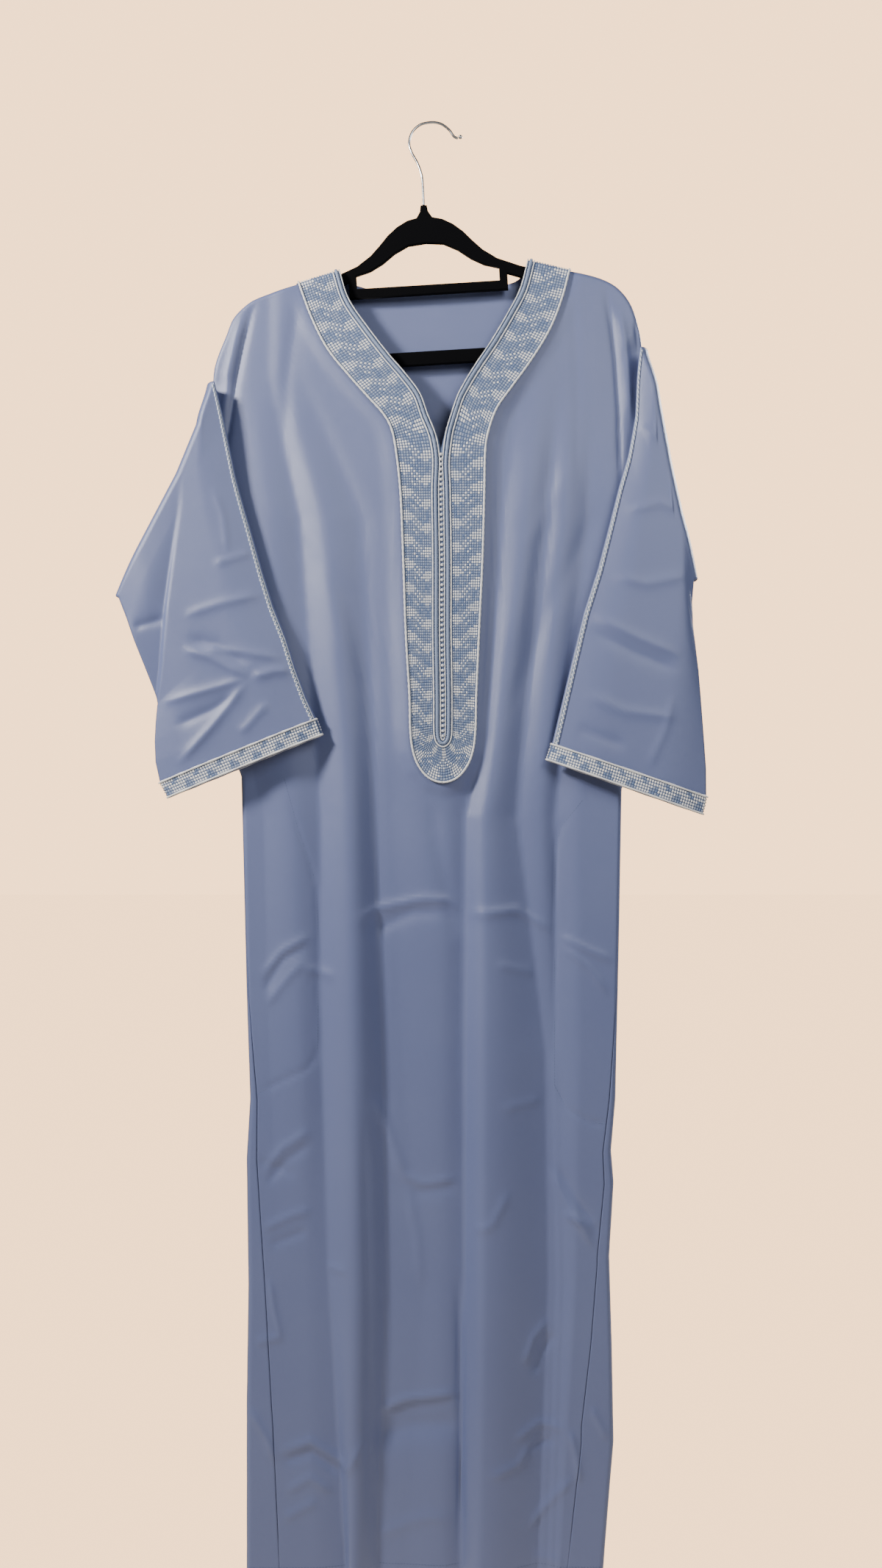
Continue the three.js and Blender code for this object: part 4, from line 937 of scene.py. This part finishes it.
def stitch_pads(surface, a, b, half_a, half_b, height):
    """One small pad for each a, b: a three by three grid of points on the surface whose middle is
    raised and whose rim sinks a little way in. surface(a, b, lift) gives the points."""
    across = np.array([-1, 0, 1.0])
    da, db = np.meshgrid(across, across, indexing="ij")
    rim = np.where(da * db == 0, PAD_SHOULDER * height, PAD_RIM)
    crown = np.where((da == 0) & (db == 0), height, rim)
    pa = a[:, None] + da.ravel()[None, :] * half_a
    pb = b[:, None] + db.ravel()[None, :] * half_b
    points = surface(pa, pb, crown.ravel()[None, :] + 0 * pa)
    quads = grid_faces(3, 3)
    faces = quads[None] + 9 * np.arange(len(a))[:, None, None]
    return points.reshape(-1, 3), faces.reshape(-1, 4)


def thread_material(name, colour, other, roughness=0.45):
    """Shiny thread in two colours, mixed by the piece's own thread attribute, finely twisted."""
    material, shader, tree = plain_material(name, colour, roughness, 0.3)
    chosen = add_node(tree, "Attribute")
    chosen.attribute_name = "thread"
    two_colours(tree, shader, chosen.outputs["Fac"], colour, other)
    raise_surface(tree, shader, object_noise(tree, Scale=1500), Distance=0.0002)
    return material


def set_thread(piece, values):
    """Writes the thread attribute: a value for each vertex, or the same one for all of them."""
    layer = piece.data.attributes.new("thread", "FLOAT", "POINT")
    layer.data.foreach_set("value", np.full(len(piece.data.vertices), values, np.float32))


def finish_trim(piece):
    """Trim rides with the garment."""
    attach(piece, "root")


WHITE, PALE_BLUE, CREAM = (0.92, 0.92, 0.91), (0.15, 0.225, 0.40), (0.78, 0.76, 0.72)
ground = cloth_material("band_ground", (0.07, 0.11, 0.22), (0.10, 0.14, 0.26), 0.75, 0.1, 0.5)[0]
stitched = thread_material("stitches", PALE_BLUE, WHITE)
cream = thread_material("cream_cord", CREAM, WHITE)

band_u = np.linspace(0, 1, 240)[:, None]
band_u = mix(band_u, band_u**2, 0.25)
band = sheet_piece("neck_band_strip", [
    (band_surface(side, band_u, np.linspace(0, 1, 22)[None, :]), side == "right")
    for side in SIDES], ground, BAND_THICK, offset=-1.0)
dress(band, "neck_band")


BEAD_ROOM, MEET_Z, MEET_FADE = 2.0, -350, 30


def strip_places(side, u):
    """Width of the band at u, and how far the cords and stitches move over from its inner edge to
    leave room for the beads where the two sides meet."""
    edge = band_surface(side, u, 0.0), band_surface(side, u, 1.0)
    width = np.linalg.norm((edge[0] - edge[1])[..., [0, 2]], axis=-1)
    meet = BEAD_ROOM * smooth((MEET_Z - edge[1][..., 2]) / MEET_FADE)
    return width, meet


SCATTER = (12.9898, 78.233, 43758.5453)
WHITE_SHARE, UNEVEN_SHARE = 0.85, 0.3


def uneven(r, c):
    """A share from 0 to 1 that differs from stitch to stitch: what is left over 1 of a large
    multiple of a sine of its row and column."""
    return np.mod(np.sin(r * SCATTER[0] + c * SCATTER[1]) * SCATTER[2], 1)


def stitch_places(rows, columns):
    """The row and column of each stitch, row by row."""
    r, c = np.meshgrid(np.arange(rows), np.arange(columns), indexing="ij")
    return r.ravel(), c.ravel()


def stitch_threads(chart, r, c):
    """The thread of each stitch's nine points: its place in the chart, a little uneven."""
    white = chart[r % len(chart), c]
    return np.repeat(np.clip(white * WHITE_SHARE + uneven(r, c) * UNEVEN_SHARE, 0, 1), 9)


def band_stitches(side):
    """One side's stitches: rows across the band at an even pitch along it."""
    rows = int(band_length(side) / ROW_PITCH)
    r, c = stitch_places(rows, STITCH_COLUMNS)
    u = (r + 0.5) / rows
    width, meet = strip_places(side, u)
    t_low, t_high = OUTER_CLEAR / width, (width - INNER_CLEAR - meet) / width
    t = mix(t_low, t_high, (c + 0.5) / STITCH_COLUMNS)
    half_t = (t_high - t_low) / STITCH_COLUMNS * STITCH_HALF_WIDTH

    def lifted(a, b, h):
        return band_surface(side, a, b, BAND_FACE + h)

    points, quads = stitch_pads(
        lifted, u, t, STITCH_HALF / rows, half_t[:, None], STITCH_HEIGHT)
    return points, quads[:, ::-1] if side == "right" else quads, stitch_threads(WHITE_STITCH, r, c)


left_half, right_half = (band_stitches(side) for side in SIDES)
embroidery = link_mesh(
    "neck_band_stitches", np.concatenate([left_half[0], right_half[0]]),
    np.concatenate([left_half[1], right_half[1] + len(left_half[0])]), [stitched])
set_thread(embroidery, np.concatenate([left_half[2], right_half[2]]))
finish_trim(embroidery)

# ---- the band's cords and beads: twisted white cords sewn along both its edges, a thicker blue
# one between the inner pair, and a row of small white beads where the two sides meet ----
CORD_LOBES, CORD_TWIST = 0.16, 2.4


def cord_on_band(side, inset, radius, from_outer=False, bury=0.35, twist=CORD_TWIST):
    """A twisted cord laid along the band at a distance from its inner or outer edge."""
    u = np.linspace(0.002, 1, 420)
    width, meet = strip_places(side, u)
    t = inset / width if from_outer else 1 - (inset + meet) / width
    path = band_surface(side, u, t, BAND_FACE + radius * (1 - bury))
    return tube(path, radius, 6, twist, CORD_LOBES)


def joined(name, parts, material):
    """One piece of trim from several tubes."""
    vertices, faces, count = [], [], 0
    for points, quads in parts:
        vertices.append(points)
        faces += [tuple(i + count for i in face) for face in quads]
        count += len(points)
    result = link_mesh(name, np.concatenate(vertices), faces, [material])
    finish_trim(result)
    return result


for place, material, thread, cords in (
        ("edge", cream, 0.5, [{"inset": 1.4, "radius": 1.2, "from_outer": True}]),
        ("inner", cream, 0.4, [{"inset": 8.3, "radius": 0.85}, {"inset": 0.8, "radius": 0.7}]),
        ("blue", stitched, 0.12, [{"inset": 4.5, "radius": 1.7, "bury": 0.55, "twist": 5.5}])):
    laid = joined("neck_band_" + place + "_cords", [
        cord_on_band(side, **cord) for cord in cords for side in SIDES], material)
    set_thread(laid, thread)

BEAD_TOP, BEAD_BOTTOM, BEAD_PITCH, BEAD_RADIUS, BEAD_SUNK = -382, -701, 5.66, 1.7, 0.7
bead_z = np.arange(BEAD_TOP, BEAD_BOTTOM, -BEAD_PITCH)
bead_x = (at(BAND_INNER["left"], bead_z) + at(BAND_INNER["right"], bead_z)) / 2
bead_y = body_depth(-1, bead_x, bead_z) - BAND_FACE - BEAD_SUNK
pearl = plain_material("white_beads", (0.78, 0.78, 0.79), 0.25)[0]
joined("placket_beads", [
    ball(centre, BEAD_RADIUS, 5, 8) for centre in zip(bead_x, bead_y, bead_z)], pearl)

# ---- cuff bands: a narrower strip with the same ground and stitches, sewn all round each cuff
# between two white cords ----
CUFF_FACE, CUFF_THICK, CUFF_COLUMNS = 2.0, 1.1, 5
# Rows of the sleeve where the strip, its stitches and its two cords lie.
CUFF_STRIP_ROWS, CUFF_STITCH_ROWS, CUFF_CORD_ROWS = (11.0, 12.98), (11.22, 12.78), (11.10, 12.90)
CUFF_MIDDLE_ROW, CUFF_ROW_STEP = 12.0, 0.01
CUFF_CORD, CUFF_CORD_LIFT, CUFF_CORD_POINTS = 1.15, 0.5, 300
CUFF_CHART = ["##...", "###..", "#####", "#.###", "..###", ".####", "#####", "####.", "##..."]
WHITE_CUFF_STITCH = np.array([[c == "#" for c in row] for row in CUFF_CHART])


def cuff_surface(side, k, a, lift):
    """The cuff band's face: k is the sleeve's row and a goes once round the cuff."""
    ring = np.concatenate([np.arange(len(RING_S)), [len(RING_S)]])
    s = np.concatenate([RING_S, RING_S[:1]])
    wall_sign = np.concatenate([RING_WALL, RING_WALL[:1]])
    place = np.mod(np.asarray(a, float), 1) * len(RING_S)
    low = np.minimum(place.astype(int), len(RING_S) - 1)
    t = (place - low)[..., None]

    def middle(row):
        p = sleeve_surface(side, row, s[low], wall_sign[low])
        q = sleeve_surface(side, row, s[low + 1], wall_sign[low + 1])
        return mix(p, q, t), q - p

    here, ahead = middle(k)
    down = middle(np.asarray(k) + CUFF_ROW_STEP)[0] - middle(np.asarray(k) - CUFF_ROW_STEP)[0]
    normal = np.cross(down, ahead) * INWARD[side]
    normal /= np.maximum(np.linalg.norm(normal, axis=-1, keepdims=True), 1e-9)
    return here + normal * np.asarray(lift, float)[..., None]


def ring_run(side):
    """Length round the cuff up to each ring point, back to the first."""
    loop = sleeve_surface(side, CUFF_MIDDLE_ROW, RING_S, RING_WALL)
    return run_along(np.concatenate([loop, loop[:1]]))


def make_cuff(side):
    """The strip, its stitches and its two cords on one cuff."""
    run = ring_run(side)

    def even_round(share):
        return np.interp(np.mod(share, 1) * run[-1], run, np.linspace(0, 1, len(run)))

    def lifted(share, row, h):
        return cuff_surface(side, row, even_round(share), CUFF_FACE + h)

    k, a = np.broadcast_arrays(np.linspace(*CUFF_STRIP_ROWS, 12)[:, None],
                               even_round(np.linspace(0, 1, 160, endpoint=False)[None, :]))
    face = cuff_surface(side, k, a, np.full(k.shape, CUFF_FACE))
    strip = sheet_piece(side + "_cuff_strip", [(face, side == "right")], ground, CUFF_THICK,
                        around=True, offset=-1.0)
    dress(strip, side + "_cuff_band")
    count = int(run[-1] / ROW_PITCH)
    r, c = stitch_places(count, CUFF_COLUMNS)
    low, high = CUFF_STITCH_ROWS
    points, quads = stitch_pads(
        lifted, (r + 0.5) / count, mix(low, high, (c + 0.5) / CUFF_COLUMNS), STITCH_HALF / count,
        STITCH_HALF * (high - low) / CUFF_COLUMNS, STITCH_HEIGHT)
    stitches = link_mesh(side + "_cuff_stitches", points,
                         quads[:, ::-1] if side == "left" else quads, [stitched])
    set_thread(stitches, stitch_threads(WHITE_CUFF_STITCH, r, c))
    finish_trim(stitches)
    share = even_round(np.linspace(0, 1, CUFF_CORD_POINTS))
    lift = np.full(CUFF_CORD_POINTS, CUFF_FACE + CUFF_CORD_LIFT)
    cords = joined(side + "_cuff_cords", [
        tube(cuff_surface(side, np.full(CUFF_CORD_POINTS, row), share, lift),
             CUFF_CORD, 6, CORD_TWIST, CORD_LOBES) for row in CUFF_CORD_ROWS], cream)
    set_thread(cords, 0.5)


for side in SIDES:
    make_cuff(side)

# ---- the braid: a plaited chain of white and blue thread down each overarm seam, with a thin
# cord beside it ----
BRAID_PITCH, BRAID_SWING, BRAID_INSET, BRAID_THREAD = 2.6, 1.9 * 0.62, 3.4, 0.85
BRAID_LIFT, BRAID_WAVE, BRAID_STEP = 1.35, 0.35, 0.65
# Each strand: how far along the plait it starts, and its thread.
BRAID_STRANDS = [(0.0, 0.75), (0.5, 0.1)]
BRAID_END_ROW = 10.95
SIDE_CORD_INSET, SIDE_CORD_LIFT, SIDE_CORD = 0.7, 0.9, 0.6
SIDE_CORD_TWIST, SIDE_CORD_LOBES, SIDE_CORD_THREAD = 2.0, 0.2, 0.35


def on_sleeve(side, k, inset, lift):
    """A point on the outward wall of the sleeve, inset from its overarm edge."""
    rows = np.asarray(SLEEVE_ROWS[side], float)
    row = np.clip(k - 1, 0, len(rows) - 1)
    ax, az, bx, bz = (np.interp(row, np.arange(len(rows)), rows[:, i]) for i in range(4))
    s = inset / np.hypot(bx - ax, bz - az)
    return sleeve_surface(side, k, s, np.ones(np.shape(k))) + np.stack(
        [0 * k, -np.asarray(lift, float) + 0 * k, 0 * k], axis=-1)


for side in SIDES:
    k = np.linspace(1.0, BRAID_END_ROW, 600)
    run = run_along(on_sleeve(side, k, BRAID_INSET, 0.0))
    strands, colours = [], []
    for phase, colour in BRAID_STRANDS:
        want = np.linspace(0, run[-1], int(run[-1] / BRAID_STEP))
        wave = 2 * math.pi * (want / (2 * BRAID_PITCH) + phase)
        path = on_sleeve(side, np.interp(want, run, k), BRAID_INSET + BRAID_SWING * np.sin(wave),
                         BRAID_LIFT + BRAID_WAVE * np.cos(2 * wave))
        strands.append(tube(path, BRAID_THREAD, 6))
        colours.append(np.full(len(strands[-1][0]), colour))
    row = np.interp(np.linspace(0, run[-1], 260), run, k)
    path = on_sleeve(side, row, SIDE_CORD_INSET, SIDE_CORD_LIFT)
    strands.append(tube(path, SIDE_CORD, 6, SIDE_CORD_TWIST, SIDE_CORD_LOBES))
    colours.append(np.full(len(strands[-1][0]), SIDE_CORD_THREAD))
    plait = joined(side + "_braid_plait", strands, stitched)
    set_thread(plait, np.concatenate(colours))
    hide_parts(side + "_braid")

# ---- topstitching: short stitches in the cloth's own colour round the two pocket bags and
# along the turned-up hem ----
TOPSTITCH = [
    [(-166, -747), (-150, -807), (-136, -848), (-131, -869), (-129, -911), (-129, -1045),
     (-131, -1063), (-141, -1076), (-165, -1087), (-195, -1103)],
    [(171, -771), (147, -801), (141, -824), (140, -922), (140, -1096), (153, -1120),
     (177, -1135), (198, -1138)],
    [(x, -1640) for x in (-206, -120, -60, 12, 80, 150, 192)]]
STITCH_LENGTH, STITCH_GAP, STITCH_WIDTH, STITCH_RISE = 2.6, 0.8, 0.84, 0.3
THREAD_LIFT, LINE_STEP = 0.05, 0.002
sewing = plain_material("sewing_thread", (0.12, 0.15, 0.28), 0.5, 0.2)[0]


def dashes(line):
    """Small pads along a line on the front, one for each stitch, turned to follow the line."""
    count = int(line_length(line) / (STITCH_LENGTH + STITCH_GAP))
    a = (np.arange(count) + 0.5) / count
    half_a = STITCH_LENGTH / 2 / line_length(line)

    def surface(share, side_step, h):
        x, z = along(line, share)
        x2, z2 = along(line, np.minimum(share + LINE_STEP, 1))
        x1, z1 = along(line, np.maximum(share - LINE_STEP, 0))
        size = np.maximum(np.hypot(x2 - x1, z2 - z1), 1e-6)
        x, z = x - (z2 - z1) / size * side_step, z + (x2 - x1) / size * side_step
        return np.stack([x, body_depth(-1, x, z) - CLOTH / 2 - THREAD_LIFT - h, z], axis=-1)

    points, quads = stitch_pads(
        surface, a, np.zeros(count), half_a, STITCH_WIDTH / 2, STITCH_RISE)
    return points, quads.tolist()


joined("topstitching", [dashes(line) for line in TOPSTITCH], sewing)
